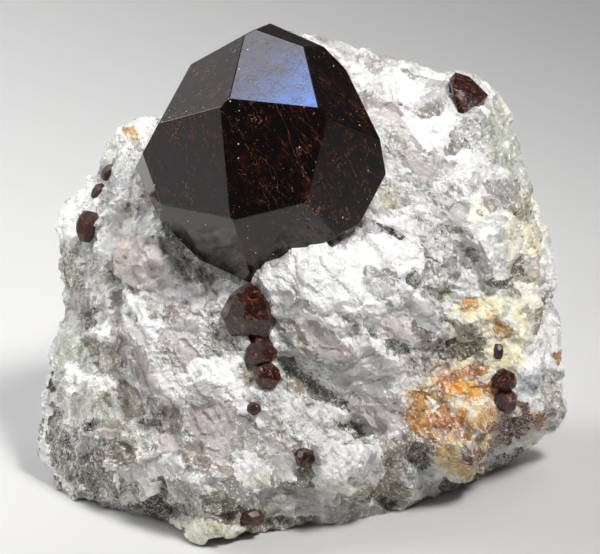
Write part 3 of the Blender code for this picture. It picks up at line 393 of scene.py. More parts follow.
    ("sugar", 0.0, (-8.1, -17.6), (-4.8, -16.9), (-2.1, -17.8), (0.3, -18.1), (3.1, -18.4), (5.0, -20.7),
     (4.6, -24.4), (2.7, -25.5), (0.0, -24.6), (-2.1, -23.4), (-4.5, -21.4), (-6.3, -20.2)),
    ("grit", 0.0, (-5.7, -19.6), (-4.2, -19.6), (-0.3, -25.3), (-1.5, -25.9), (-3.6, -23.2)),
    ("frost", 0.8, (2.7, -25.5), (5.4, -22.9), (7.8, -23.8), (11.2, -25.1), (12.6, -28.1), (12.2, -29.7),
     (9.9, -31.2), (6.0, -32.1), (2.7, -33.0), (1.2, -31.9), (1.6, -29.2)),
    ("frost", 0.6, (1.6, -30.1), (3.3, -28.3), (5.1, -28.9), (6.1, -30.8), (4.5, -32.2), (2.7, -32.7)),
    ("clear", 0.8, (9.0, -25.6), (11.1, -25.3), (12.4, -27.8), (12.0, -29.5), (9.9, -31.0), (8.4, -30.1)),
    # painted shadow on the shaded side of a plate
    ("shadow", -1.2, (6.0, -21.6), (7.8, -20.8), (9.4, -21.1), (10.9, -24.6), (9.3, -24.9), (7.5, -23.7),
     (6.3, -22.6)),
    ("brown", -0.2, (6.0, -32.1), (9.9, -31.2), (12.6, -29.7), (14.7, -30.4), (16.2, -31.9),
     (13.5, -33.3), (9.9, -33.6), (6.9, -33.6)),
    # painted shade under an overhanging edge, partly dark smoky quartz
    ("umber", -1.6, (11.4, -33.6), (15.6, -32.9), (14.7, -35.1), (12.9, -35.1)),
    ("umber", -1.2, (4.2, -34.2), (7.5, -34.5), (6.0, -35.7)),
    ("grey", 0.2, (2.7, -33.3), (6.9, -33.6), (11.4, -34.2), (13.8, -35.2), (11.4, -36.6), (7.5, -37.8),
     (5.1, -37.2), (3.3, -35.2)),
    ("clear", 0.0, (-6.6, -32.5), (-3.0, -30.9), (1.2, -31.9), (3.3, -33.4), (3.3, -35.2), (0.0, -35.9),
     (-5.1, -35.4)),
    ("umber", -0.3, (-8.7, -35.4), (-5.4, -35.4), (-5.7, -37.5), (-8.4, -37.5)),
    ("schist", 0.0, (-5.7, -35.4), (1.2, -35.7), (0.3, -37.0), (-5.7, -37.5)),
    # centre
    # painted shadow: the shaded crack band under the ledge right of the chain garnets
    ("shadow", -1.0, (-3.0, -11.8), (-0.6, -12.2), (0.9, -14.2), (3.6, -16.2), (5.7, -17.8), (8.7, -18.4),
     (9.3, -20.1), (6.0, -20.1), (3.3, -18.6), (0.0, -17.7), (-2.5, -15.6)),
    ("brown", -0.9, (-2.1, -15.3), (0.6, -15.8), (2.7, -18.0), (0.0, -18.0), (-1.6, -17.1)),
    ("grey", -0.2, (-4.5, -7.6), (-3.6, -6.1), (-1.5, -6.0), (0.3, -7.9), (2.1, -10.2), (3.4, -12.8),
     (0.6, -12.6), (-1.8, -10.9), (-3.4, -9.9)),
    ("brown", -0.2, (-2.4, -7.2), (-0.4, -7.2), (1.2, -9.4), (3.1, -12.9), (1.8, -12.6), (-0.3, -10.3)),
    ("clear", 0.2, (-3.1, -9.9), (-0.6, -10.9), (1.5, -11.8), (2.7, -13.5), (-0.6, -12.2), (-2.7, -11.7)),
    ("mauve", 0.1, (0.3, -5.7), (3.0, -6.8), (6.0, -9.4), (8.5, -10.2), (8.7, -12.6), (6.0, -12.9),
     (3.3, -12.6), (1.6, -10.0), (0.1, -7.9)),
    ("clear", 0.4, (3.3, -12.8), (8.7, -12.4), (12.0, -11.2), (14.8, -12.4), (15.3, -14.4), (13.8, -17.1),
     (11.4, -18.0), (7.5, -17.4), (4.8, -16.2)),
    ("clear", 0.3, (8.7, -10.2), (11.4, -8.4), (12.3, -11.2), (9.0, -12.6)),
    ("frost", 0.2, (0.6, -5.5), (2.7, -5.2), (6.0, -5.1), (8.5, -7.2), (7.8, -8.4), (6.0, -7.5),
     (3.3, -6.9)),
    ("milk", 0.3, (5.7, -6.6), (7.5, -6.9), (8.2, -7.9), (6.9, -9.0), (5.7, -8.2)),
    ("grey", -0.2, (6.1, -5.1), (7.8, -5.8), (10.9, -9.3), (9.9, -9.6), (7.8, -7.5)),
    ("frost", 0.2, (7.5, -5.1), (9.3, -6.0), (11.8, -9.6), (10.8, -9.6), (8.7, -7.3)),
    ("grey", -0.3, (9.3, -6.5), (10.2, -6.9), (12.2, -9.6), (11.4, -9.9), (9.9, -8.2)),
    # partly painted highlight: the brightly lit milky mass below and right of the main crystal
    ("milk", 0.5, (-0.6, -0.8), (-2.5, 1.9), (-1.5, 3.9), (1.8, 4.8), (6.8, 5.1), (9.3, 6.1), (15.0, 6.5),
     (18.0, 5.0), (18.9, 2.2), (18.1, 0.0), (15.0, -0.3), (12.6, 0.9), (9.9, 1.2), (9.0, -0.4),
     (10.8, -2.9), (12.6, -4.5), (14.5, -4.0), (12.6, -5.4), (12.0, -8.1), (10.5, -6.8), (7.8, -5.1),
     (4.5, -5.4), (1.2, -4.8), (0.4, -2.9)),
    ("frost", 0.3, (-6.9, 0.8), (-4.8, 1.9), (-2.4, 2.2), (-0.6, -0.8), (-1.5, -2.2), (-3.3, -2.2),
     (-4.8, -0.4)),
    ("clear", 0.0, (-3.3, -2.2), (-1.2, -1.6), (0.6, -3.1), (0.9, -5.5), (-1.5, -6.1), (-3.4, -6.1),
     (-3.6, -4.2)),
    ("grey", 0.1, (9.3, 1.3), (12.6, 1.1), (14.8, -0.1), (15.1, -1.5), (12.9, -0.9), (10.8, -0.3),
     (9.6, 0.0)),
    ("clear", 0.1, (10.8, -0.8), (12.9, -1.1), (14.8, -1.9), (13.8, -3.1), (12.4, -3.0)),
    ("milk", 0.4, (12.6, -3.0), (15.0, -2.9), (15.0, -4.3), (13.2, -4.5)),
    # painted shadow on a shaded face
    ("shadow", -0.2, (15.4, -0.6), (17.2, 0.8), (18.4, -1.3), (16.8, -2.1)),
    ("grit", 0.3, (17.2, 0.8), (18.6, -0.4), (21.1, -5.0), (22.5, -8.2), (22.8, -9.9), (21.6, -9.0),
     (19.8, -5.8), (18.0, -3.0)),
    ("clear", 0.4, (15.0, -3.9), (16.8, -3.1), (18.6, -3.4), (20.4, -6.1), (21.9, -9.0), (20.4, -9.3),
     (18.0, -7.9), (16.2, -6.3)),
    ("smoky", 0.3, (16.2, -6.3), (18.6, -8.1), (21.1, -9.3), (18.6, -9.6), (16.5, -8.4)),
    ("rose", 0.3, (12.0, -6.5), (14.4, -4.3), (16.2, -6.1), (16.8, -8.7), (17.8, -9.9), (15.0, -10.5),
     (12.9, -9.6), (11.4, -8.5)),
    ("milk", 0.1, (10.5, -9.4), (12.9, -9.8), (15.0, -11.1), (14.4, -12.2), (12.3, -11.2)),
    ("schist", -0.2, (12.6, -9.3), (15.3, -10.0), (17.6, -10.9), (17.1, -12.6), (15.0, -12.3),
     (13.2, -11.1)),
    ("pepper", 0.0, (14.7, -12.3), (18.0, -10.9), (21.1, -10.2), (21.9, -12.4), (19.5, -14.4),
     (16.8, -14.7), (15.0, -13.7)),
    ("frost", 0.1, (14.7, -14.1), (18.6, -14.5), (20.6, -15.1), (18.6, -17.1), (15.6, -17.7),
     (14.1, -16.1)),
    ("mauve", 0.1, (6.8, -17.4), (11.4, -18.0), (13.8, -17.1), (15.8, -17.7), (16.3, -19.2),
     (15.8, -22.9), (13.8, -24.6), (11.4, -24.0), (9.3, -21.1), (7.5, -20.1)),
    ("brown", -0.1, (11.4, -24.0), (13.8, -24.6), (16.5, -24.4), (16.9, -27.0), (16.3, -30.6),
     (13.8, -31.2), (12.6, -28.9), (12.2, -26.7)),
    ("umber", -0.5, (16.5, -24.3), (18.6, -24.4), (19.6, -26.7), (20.2, -28.9), (18.6, -29.7),
     (16.8, -28.8), (15.9, -26.7)),
    # rusty pocket
    ("ochre", -0.2, (16.2, -17.1), (19.2, -17.1), (20.6, -19.6), (21.1, -22.9), (18.6, -24.0),
     (16.3, -21.6)),
    ("chalk", 0.1, (18.6, -17.2), (20.7, -18.9), (21.1, -20.7), (19.5, -19.5)),
    ("rust", 0.2, (20.1, -15.6), (23.4, -13.7), (27.0, -12.6), (28.9, -13.3), (27.9, -14.7),
     (24.3, -15.3), (21.9, -16.8), (21.1, -18.6), (20.4, -17.7)),
    ("gold", 0.1, (21.4, -16.1), (24.3, -15.1), (27.1, -15.4), (27.8, -17.8), (25.5, -20.1),
     (23.4, -19.2), (21.9, -18.0)),
    ("chalk", 0.2, (21.4, -17.8), (24.3, -18.1), (24.8, -19.9), (22.5, -19.5)),
    ("rust", 0.0, (21.0, -18.4), (22.2, -19.1), (23.6, -21.4), (24.4, -23.2), (22.2, -24.0),
     (20.7, -22.2)),
    ("gold", 0.1, (23.4, -19.2), (25.5, -20.1), (25.1, -23.2), (23.7, -22.6)),
    ("cream", 0.3, (24.9, -19.2), (27.6, -17.8), (30.0, -19.9), (30.4, -21.4), (29.4, -23.1),
     (27.0, -23.4), (25.2, -22.5)),
    ("rust", -0.1, (27.6, -21.9), (29.2, -21.9), (29.2, -23.7), (27.6, -23.7)),
    ("rust", 0.1, (26.4, -15.9), (28.8, -15.3), (29.5, -17.8), (30.1, -19.8), (27.9, -17.8)),
    ("russet", -0.3, (29.8, -21.0), (33.1, -20.4), (33.9, -23.8), (31.2, -25.5), (28.9, -24.9),
     (29.4, -23.1)),
    ("honey", 0.8, (19.8, -25.1), (22.5, -24.4), (26.7, -24.8), (28.6, -25.6), (27.8, -27.9),
     (25.5, -29.7), (21.9, -29.7), (20.1, -28.2)),
    ("russet", 0.7, (23.4, -25.3), (27.3, -24.6), (29.2, -25.3), (27.0, -27.0), (24.3, -27.3)),
    # painted shade under the rust pocket's lower edge, partly dark smoky quartz
    ("umber", -0.4, (17.7, -30.0), (22.5, -30.3), (27.0, -28.3), (30.0, -26.2), (33.0, -25.2),
     (34.2, -25.6), (33.1, -27.9), (30.9, -29.1), (28.2, -30.6), (25.5, -31.8), (21.6, -32.7),
     (18.9, -32.1)),
    ("grey", 0.0, (27.8, -27.9), (30.0, -26.8), (31.9, -26.2), (30.0, -28.5), (28.5, -29.7)),
    ("grit", 0.0, (15.9, -31.0), (18.6, -30.1), (21.1, -30.4), (20.6, -32.5), (18.0, -33.6),
     (15.8, -33.3)),
    # right
    ("cream", 0.3, (26.8, -9.4), (30.0, -8.7), (32.5, -9.4), (33.8, -12.4), (33.0, -14.4), (30.6, -13.8),
     (28.2, -12.9), (26.7, -11.4)),
    ("ochre", 0.0, (28.2, -6.6), (31.5, -6.6), (31.9, -8.8), (29.4, -9.0)),
    ("lichen", -0.1, (25.6, -8.7), (27.6, -7.9), (27.4, -11.1), (26.1, -11.4)),
    ("mica", -0.4, (20.7, -9.2), (24.0, -9.4), (26.6, -9.8), (26.8, -11.8), (24.3, -12.9), (21.6, -12.3),
     (20.1, -10.7)),
    ("pepper", -0.2, (22.1, -6.5), (24.0, -6.1), (26.6, -7.3), (26.2, -9.6), (23.4, -9.0)),
    ("cream", 0.4, (21.8, -5.1), (24.0, -3.4), (26.7, -2.9), (30.0, -3.3), (31.0, -4.3), (30.0, -6.3),
     (27.9, -6.9), (25.5, -6.9), (23.7, -5.7)),
    ("gold", 0.4, (23.6, -3.4), (25.8, -3.3), (26.8, -4.3), (24.3, -4.8)),
    ("chalk", 0.1, (23.7, -1.3), (27.0, -0.6), (30.0, -1.1), (31.0, -2.9), (30.0, -3.3), (26.7, -2.9),
     (24.0, -3.3)),
    ("mica", -0.3, (26.1, 0.3), (30.0, 0.0), (33.1, -0.6), (33.8, -2.1), (31.2, -2.1), (28.5, -1.1)),
    ("lichen", -0.1, (19.2, -0.6), (22.5, -0.9), (23.8, -1.9), (22.9, -4.2), (21.1, -3.9), (19.8, -2.4)),
    ("grit", 0.1, (18.6, 5.0), (21.0, 5.2), (22.9, 4.0), (23.8, 2.2), (22.9, 0.0), (20.4, 0.3),
     (18.9, 2.1)),
    ("grey", 0.1, (21.0, 3.3), (23.2, 2.9), (23.2, 1.2), (21.3, 1.5)),
    ("frost", 0.0, (23.8, 2.2), (26.4, 2.2), (28.6, 1.3), (27.1, -0.3), (24.6, 0.3)),
    ("umber", -0.8, (18.9, 8.4), (20.1, 8.1), (21.1, 6.1), (22.6, 4.0), (24.1, 2.2), (25.1, 1.2),
     (23.4, 3.0), (21.6, 4.8), (20.1, 6.3)),
    ("grey", 0.3, (21.1, 8.4), (22.8, 6.9), (24.4, 5.0), (26.1, 2.1), (25.1, 1.2), (23.4, 3.4),
     (21.9, 5.8)),
    ("frost", 0.8, (23.8, 8.2), (27.0, 9.2), (30.0, 9.9), (32.4, 8.2), (33.1, 5.5), (32.5, 3.0),
     (30.9, 1.5), (28.5, 1.2), (26.4, 2.2), (25.2, 4.3), (23.2, 6.1)),
    ("clear", 0.1, (21.0, 11.5), (24.0, 12.2), (25.6, 10.7), (25.1, 8.2), (22.5, 8.2), (21.3, 9.8)),
    ("grey", 0.0, (27.1, 15.1), (30.0, 14.7), (32.5, 13.9), (33.1, 10.8), (32.4, 8.8), (30.0, 9.9),
     (28.2, 11.5), (27.0, 13.2)),
    # painted shadow in the gap beside the rounded knob on the right
    ("umber", -1.2, (31.6, 9.4), (33.0, 9.6), (33.4, 8.2), (32.4, 7.8)),
    ("cream", 0.5, (33.3, 8.1), (36.1, 8.4), (37.0, 5.5), (36.1, 2.7), (33.9, 2.7), (33.0, 5.2)),
    ("rose", 0.2, (33.6, 2.5), (35.9, 2.9), (36.1, 0.0), (34.5, -0.9), (33.1, 0.6)),
    # painted shadow under the rounded knob's lower right edge
    ("mica", -1.2, (32.2, 2.9), (33.3, 2.4), (33.8, 0.0), (32.7, 0.0), (31.9, 1.3)),
    ("chalk", 0.5, (36.0, 5.8), (37.6, 4.0), (37.9, 1.1), (39.0, -0.8), (37.4, -2.2), (36.0, 0.0)),
    ("lichen", 0.1, (33.1, 13.9), (34.5, 14.8), (36.0, 13.0), (36.3, 10.7), (36.0, 8.4), (33.6, 8.2),
     (33.0, 10.8)),
    ("chalk", 0.0, (33.1, -0.8), (36.1, -0.6), (37.0, -2.9), (36.1, -6.3), (33.9, -6.3), (32.9, -3.6)),
    ("brown", -0.3, (34.4, -5.4), (36.0, -4.3), (37.2, -2.7), (37.6, -5.0), (36.1, -8.8), (35.1, -9.3)),
    ("milk", 0.2, (31.0, -3.4), (33.0, -3.9), (33.8, -6.5), (35.2, -10.2), (34.5, -11.4), (32.4, -8.8),
     (31.0, -6.1)),
    ("chalk", 0.2, (37.2, -5.0), (38.7, -6.0), (39.3, -10.2), (39.3, -14.4), (36.8, -14.1), (35.4, -11.1),
     (36.0, -8.8)),
    ("rust", 0.1, (37.5, -11.8), (38.9, -11.2), (39.1, -12.8), (38.1, -13.2)),
    ("steel", 0.0, (32.9, -14.2), (35.9, -14.4), (36.1, -17.7), (34.5, -18.6), (32.9, -17.1)),
    ("pepper", 0.2, (36.0, -14.8), (38.7, -14.2), (39.6, -17.2), (40.4, -20.7), (38.7, -22.2),
     (36.9, -21.3), (36.0, -18.6)),
    ("rust", 0.3, (34.4, -20.2), (36.4, -19.8), (36.9, -22.3), (34.8, -22.8)),
    ("russet", 0.0, (32.9, -18.1), (34.5, -18.9), (34.4, -22.9), (33.4, -23.8), (33.0, -20.7)),
    # top right
    ("celadon", 0.2, (27.6, 26.6), (30.0, 27.1), (31.6, 24.6), (33.0, 21.3), (33.6, 17.6), (34.5, 14.5),
     (32.5, 13.8), (30.0, 14.7), (28.2, 16.6), (27.0, 19.1), (27.3, 22.1), (28.2, 24.3)),
    ("grey", 0.0, (23.8, 23.7), (27.3, 24.1), (27.6, 22.1), (26.7, 19.6), (24.6, 20.7), (23.6, 22.1)),
    ("smoky", -0.6, (22.3, 20.4), (24.0, 20.4), (24.8, 19.1), (23.4, 18.3), (22.3, 18.9)),
    ("milk", 0.3, (15.4, 23.8), (18.0, 24.8), (21.9, 24.9), (23.8, 23.8), (23.4, 21.8), (22.2, 19.5),
     (21.0, 17.7), (19.2, 18.9), (16.8, 21.0)),
    ("rose", 0.4, (10.2, 24.1), (12.6, 25.2), (15.1, 24.0), (16.9, 21.0), (15.6, 20.7), (13.2, 22.2),
     (10.7, 23.1)),
    ("mauve", -0.2, (9.0, 26.6), (12.0, 26.8), (15.1, 25.6), (15.8, 23.8), (13.8, 24.4), (11.4, 24.9),
     (9.6, 24.9)),
    ("smoky", -0.2, (17.7, 25.9), (19.8, 26.6), (21.8, 25.6), (21.1, 24.4), (19.5, 24.1), (17.8, 24.8)),
    ("clear", 0.2, (15.4, 26.4), (18.6, 27.8), (21.0, 28.1), (22.6, 26.6), (21.8, 25.3), (19.5, 26.6),
     (17.1, 25.5)),
    ("milk", 0.5, (11.7, 31.5), (15.0, 30.6), (17.6, 28.3), (18.8, 27.4), (16.5, 26.2), (13.8, 26.8),
     (12.6, 28.3)),
    ("frost", 0.0, (7.0, 32.9), (9.6, 32.4), (12.0, 30.1), (12.6, 28.1), (11.7, 26.8), (9.6, 27.1),
     (8.1, 29.7)),
    ("clear", 0.2, (9.0, 34.4), (12.0, 34.2), (14.8, 33.0), (15.1, 30.8), (12.6, 31.6), (9.6, 32.5)),
    ("frost", 0.1, (14.7, 32.7), (16.8, 31.8), (19.5, 31.5), (21.9, 30.9), (22.3, 29.5), (20.4, 29.2),
     (18.6, 29.8), (16.5, 30.0), (15.0, 30.9)),
    ("clear", 0.2, (18.4, 29.5), (22.2, 29.5), (22.6, 27.3), (20.4, 28.1), (18.6, 27.8)),
    ("grit", 0.0, (11.7, 23.2), (14.4, 22.1), (17.1, 20.4), (19.3, 17.8), (18.0, 16.6), (15.0, 17.6),
     (12.9, 18.8), (12.2, 20.6)),
    ("mauve", 0.0, (15.0, 17.6), (18.0, 18.0), (21.1, 16.9), (21.8, 15.0), (19.2, 14.1), (16.5, 15.3),
     (14.7, 16.3)),
    ("frost", 0.2, (12.9, 17.6), (15.0, 16.3), (16.6, 15.3), (15.6, 14.4), (13.5, 14.7), (12.8, 16.1)),
    ("clear", 0.0, (20.8, 17.8), (23.6, 17.7), (23.6, 15.0), (21.9, 14.7), (21.0, 16.3)),
    ("milk", 0.4, (23.6, 18.8), (27.0, 19.2), (28.5, 16.5), (30.1, 14.7), (27.6, 14.4), (24.9, 15.0),
     (23.6, 16.9)),
    ("sugar", 0.1, (15.0, 14.4), (19.5, 14.2), (23.4, 14.8), (27.1, 14.5), (25.6, 12.0), (22.5, 11.7),
     (19.5, 11.4), (16.5, 12.2)),
    ("lichen", 0.0, (11.8, 14.2), (15.0, 13.7), (15.8, 10.8), (14.4, 9.0), (12.6, 9.9), (11.5, 12.2)),
    ("mauve", 0.0, (14.4, 13.0), (16.6, 12.2), (16.6, 10.5), (14.7, 10.5)),
    ("frost", 0.2, (9.9, 9.4), (12.0, 10.8), (12.6, 9.8), (15.0, 8.8), (18.0, 10.0), (18.6, 7.9),
     (16.8, 6.0), (14.4, 6.0), (12.0, 7.2)),
    ("mica", -0.5, (11.2, 7.5), (13.8, 6.9), (15.1, 5.4), (13.2, 5.7)),
    ("sugar", 0.2, (15.6, 8.2), (18.6, 9.6), (21.1, 8.4), (19.5, 5.4), (18.0, 4.8), (16.2, 6.0)),
    ("clear", 0.1, (0.0, 37.6), (4.5, 36.4), (7.2, 34.9), (9.2, 33.0), (7.5, 32.5), (5.4, 34.0),
     (2.7, 35.1), (0.6, 36.1)),
)

# Rust and speckle inside the main garnet: centre u, v, w, and radius.
GARNET_STAINS = (
    (-18.1, 21.6, 22.4, 3.0), (10.4, 25.4, 17.5, 3.4), (1.6, 9.6, 23.5, 3.6),
    (-6.1, 22.6, 27.5, 1.8), (-7.3, 3.3, 21.2, 2.6), (-13.5, 31.0, 20.0, 2.2),
)


def lift(points):
    """Front view millimetres to the frame's metres."""
    p = np.asarray(points, float).reshape(-1, 3) * MM
    s, c = math.sin(VIEW_TILT), math.cos(VIEW_TILT)
    return np.stack([p[:, 0], p[:, 1] * s - p[:, 2] * c, p[:, 1] * c + p[:, 2] * s], axis=1) + VIEW_CENTRE


def unlift(points):
    """The frame's metres back to front view millimetres."""
    return turned_to_front((np.asarray(points, float).reshape(-1, 3) - VIEW_CENTRE) / MM)


def turned_to_front(directions):
    """Directions in the frame, as the front view has them."""
    x, y, z = directions.T
    s, c = math.sin(VIEW_TILT), math.cos(VIEW_TILT)
    return np.stack([x, y * s + z * c, z * s - y * c], axis=1)


def seen_from_front(points):
    """Where front view points appear on the view plane."""
    return points[:, :2] * (VIEW_DISTANCE / (VIEW_DISTANCE - points[:, 2]))[:, None]


def blend(ends, share):
    low, high = ends
    return low + (high - low) * share


# ---------------------------------------------------------------- working with meshes


def select_only(obj):
    bpy.ops.object.select_all(action="DESELECT")
    obj.select_set(True)
    bpy.context.view_layer.objects.active = obj


def select_nothing(kind):
    """Leaves nothing of the active mesh selected, and its edges or faces to be selected one by one."""
    bpy.ops.object.mode_set(mode="EDIT")
    bpy.ops.mesh.select_mode(type=kind)
    bpy.ops.mesh.select_all(action="DESELECT")
    bpy.ops.object.mode_set(mode="OBJECT")


def merge_close_corners(obj):
    select_only(obj)
    bpy.ops.object.mode_set(mode="EDIT")
    bpy.ops.mesh.select_all(action="SELECT")
    bpy.ops.mesh.remove_doubles(threshold=WELD * MM)
    bpy.ops.object.mode_set(mode="OBJECT")


def copy_of_node(node, name):
    """A new object with the node's mesh, its loose triangles merged into one skin."""
    obj = bpy.data.objects.new(name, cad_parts[node].data.copy())
    bpy.context.scene.collection.objects.link(obj)
    obj.data.materials.clear()
    merge_close_corners(obj)
    return obj


def apply_all(obj):
    select_only(obj)
    for modifier in list(obj.modifiers):
        bpy.ops.object.modifier_apply(modifier=modifier.name)


def vectors_of(items, name):
    """One vector of every item: its place, its normal or a stored one."""
    values = np.empty(len(items) * 3, np.float32)
    items.foreach_get(name, values)
    return values.reshape(-1, 3).astype(float)


def whole_numbers_of(items, name, columns):
    values = np.empty(len(items) * columns, np.int32)
    items.foreach_get(name, values)
    return values.reshape(-1, columns)


def triangle_corners(mesh):
    return whole_numbers_of(mesh.polygons, "vertices", 3)


def keep_vectors(mesh, name, vectors):
    """Stores a vector with every vertex, which the Decimate modifier carries along."""
    layer = mesh.attributes.new(name, "FLOAT_VECTOR", "POINT")
    layer.data.foreach_set("vector", np.asarray(vectors, np.float32).ravel())


def take_vectors(mesh, name):
    """The kept vectors, vertex by vertex; the layer is then dropped."""
    layer = mesh.attributes[name]
    vectors = vectors_of(layer.data, "vector")
    mesh.attributes.remove(layer)
    return vectors


def paint_faces(mesh, name, values):
    """Stores a value for every face, for a material to read."""
    layer = mesh.attributes.new(name, "FLOAT", "FACE")
    layer.data.foreach_set("value", np.asarray(values, np.float32))


def colour_faces(mesh, name, colours):
    layer = mesh.attributes.new(name, "FLOAT_COLOR", "FACE")
    four = np.concatenate([colours, np.ones((len(colours), 1))], axis=1)
    layer.data.foreach_set("color", four.astype(np.float32).ravel())


# ---------------------------------------------------------------- the rock's grains


def fabric_space(points, stretch):
    """Turns and squeezes front view points so that round cells come out long along the fabric."""
    c, s = math.cos(ROCK_FABRIC), math.sin(ROCK_FABRIC)
    along = (points[:, 0] * c + points[:, 1] * s) / stretch
    across = points[:, 1] * c - points[:, 0] * s
    return np.stack([along, across, points[:, 2]], axis=1)


def nearest_cell(points, spacing, seed):
    """For each point: its offset from its cell's seed, the cell's numbers, and the gap to its border."""
    side = 48  # after so many cells the pattern repeats
    table = np.random.default_rng(seed).random((side, side, side, 9))
    base = np.floor(points / spacing).astype(int)
    best = np.full(len(points), 1e9)
    second = best.copy()
    offset = np.zeros((len(points), 3))
    numbers = np.zeros((len(points), 6))
    for step in np.ndindex(3, 3, 3):
        cell = base + np.array(step) - 1
        found = table[tuple((cell % side).T)]
        off = points - (cell + 0.1 + 0.8 * found[:, :3]) * spacing
        distance = np.sqrt((off**2).sum(axis=1))
        closer = distance < best
        second = np.where(closer, best, np.minimum(second, distance))
        best[closer] = distance[closer]
        offset[closer] = off[closer]
        numbers[closer] = found[closer, 3:]
    return offset, numbers, (second - best) / 2


def fracture_depth(points, spacing, step, lean, stretch, seed):
    """Flat facets, each with its own height and lean, meeting in small cliffs."""
    offset, numbers, _ = nearest_cell(fabric_space(points, stretch), spacing, seed)
    height = (numbers[:, 0] - 0.5) * 2 * step
    tilt = (numbers[:, 1:4] - 0.5) * 2 * lean
    return height + np.clip((offset * tilt).sum(axis=1), -step, step)


def wobble(flat):
    """Bends the drawn borders a little, as a fracture would."""
    u, v = flat[:, 0], flat[:, 1]
    du = 0.13 * np.sin(2.3 * v + 1.7 * np.sin(1.1 * u)) + 0.07 * np.sin(6.1 * v + 2.0 * u)
    dv = 0.13 * np.sin(2.1 * u + 1.9 * np.sin(1.3 * v)) + 0.07 * np.sin(5.7 * u - 2.4 * v)
    return flat + np.stack([du, dv], axis=1)


def sides_of(corners):
    return zip(corners, np.roll(corners, -1, axis=0))


def inside_outline(flat, corners):
    odd = np.zeros(len(flat), bool)
    for (u0, v0), (u1, v1) in sides_of(corners):
        crosses = (v0 > flat[:, 1]) != (v1 > flat[:, 1])
        at = u0 + (flat[:, 1] - v0) * (u1 - u0) / (v1 - v0 + 1e-12)
        odd ^= crosses & (flat[:, 0] < at)
    return odd


def outline_distance(flat, corners):
    best = np.full(len(flat), BORDER_REACH)
    for start, end in sides_of(corners):
        side = end - start
        share = np.clip(((flat - start) @ side) / max(side @ side, 1e-9), 0, 1)
        best = np.minimum(best, np.linalg.norm(flat - start - share[:, None] * side, axis=1))
    return best


def find_drawn_grains(flat, facing):
    """For each vertex, the drawn grain it is in, or -1, and how far its border is."""
    grain = np.full(len(flat), -1)
    border = np.full(len(flat), BORDER_REACH)
    for index, (_, _, *corners) in enumerate(GRAINS):
        corners = np.array(corners)
        low, high = corners.min(axis=0) - BORDER_REACH, corners.max(axis=0) + BORDER_REACH
        near = np.where(facing & ((flat > low) & (flat < high)).all(axis=1))[0]
        within = inside_outline(flat[near], corners)
        distance = outline_distance(flat[near], corners)
        grain[near[within]] = index
        border[near] = np.where(within, distance, np.minimum(border[near], distance))
    return grain, border


def pick_minerals(mix, chance):
    """Turns a number from 0 to 1 into a mineral's place in MINERALS, by the mix's shares."""
    ends = np.cumsum(list(mix.values())) / sum(mix.values())
    places = np.array([list(MINERALS).index(name) for name in mix])
    return places[np.minimum(np.searchsorted(ends, chance), len(mix) - 1)]


def cell_minerals(points, numbers):
    """What the undrawn cells are made of, by where on the rock they are."""
    mineral = pick_minerals(BLOCK_MIX, numbers[:, 4])
    right = points[:, 0] + RIGHT_RAGGED * (numbers[:, 3] - 0.5) > RIGHT_SIDE
    foot = (points[:, 1] < FOOT_TOP) & ~right
    mineral[right] = pick_minerals(RIGHT_MIX, numbers[right, 4])
    mineral[foot] = pick_minerals(FOOT_MIX, numbers[foot, 4])
    return mineral


def sort_into_grains(points, normals):
    """Grain number, mineral, border distance and height over its plane, for every vertex."""
    facing = normals[:, 2] > FACING
    drawn, border = find_drawn_grains(wobble(seen_from_front(points)), facing)
    _, numbers, gap = nearest_cell(fabric_space(points, CELL_STRETCH), CELL_SIZE, CELL_SEED)
    _, cell = np.unique(numbers[:, 5], return_inverse=True)
    names = list(MINERALS)
    drawn_mineral = np.array([names.index(name) for name, *_ in GRAINS])
    drawn_step = np.array([step for _, step, *_ in GRAINS])
    on_drawn = drawn >= 0
    grain = np.where(on_drawn, drawn, cell + len(GRAINS))
    mineral = np.where(on_drawn, drawn_mineral[drawn], cell_minerals(points, numbers))
    border = np.where(on_drawn, border, np.minimum(border, gap))
    step = np.where(on_drawn, drawn_step[drawn], (numbers[:, 0] - 0.5) * 2 * CELL_STEP)
    return grain, mineral, border, step


def screen_colour(colour):
    """A colour as a screen shows it, turned to light."""
    c = np.asarray(colour, float) / 255
    return np.where(c <= 0.04045, c / 12.92, ((c + 0.055) / 1.055) ** 2.4)


def mineral_finish(mineral):
    """Colour, crumb, specks and polish for each mineral number."""
    rows = [list(screen_colour(colour)) + finish for colour, *finish in MINERALS.values()]
    finish = np.array(rows)[mineral]
    return finish[:, :3], finish[:, 3], finish[:, 4], finish[:, 5]


# ---------------------------------------------------------------- the rock's shape


def mean_by(labels, values):
    """The mean of values over each label, given back for every vertex."""
    count = np.maximum(np.bincount(labels), 1)
    total = np.stack([np.bincount(labels, column) for column in values.T], axis=1)
    return (total / count[:, None])[labels]


def flatten_grains(points, normals, grain, step):
    """Presses each grain towards a plane of its own, tipped a little, with its own height."""
    centre = mean_by(grain, points)
    facing = mean_by(grain, normals)
    facing /= np.linalg.norm(facing, axis=1)[:, None] + 1e-9
    plane = facing + np.random.default_rng(LEAN_SEED).normal(0, GRAIN_LEAN, (grain.max() + 1, 3))[grain]
    plane /= np.linalg.norm(plane, axis=1)[:, None]
    drop = ((centre - points) * plane).sum(axis=1)
    return points + plane * (np.clip(drop, -GRAIN_FLATTEN, GRAIN_FLATTEN) + step)[:, None]


def corners_of(node):
    """The lowest and the highest corner of the node's box, in the frame."""
    low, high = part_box(node)
    return np.array(low), np.array(high)


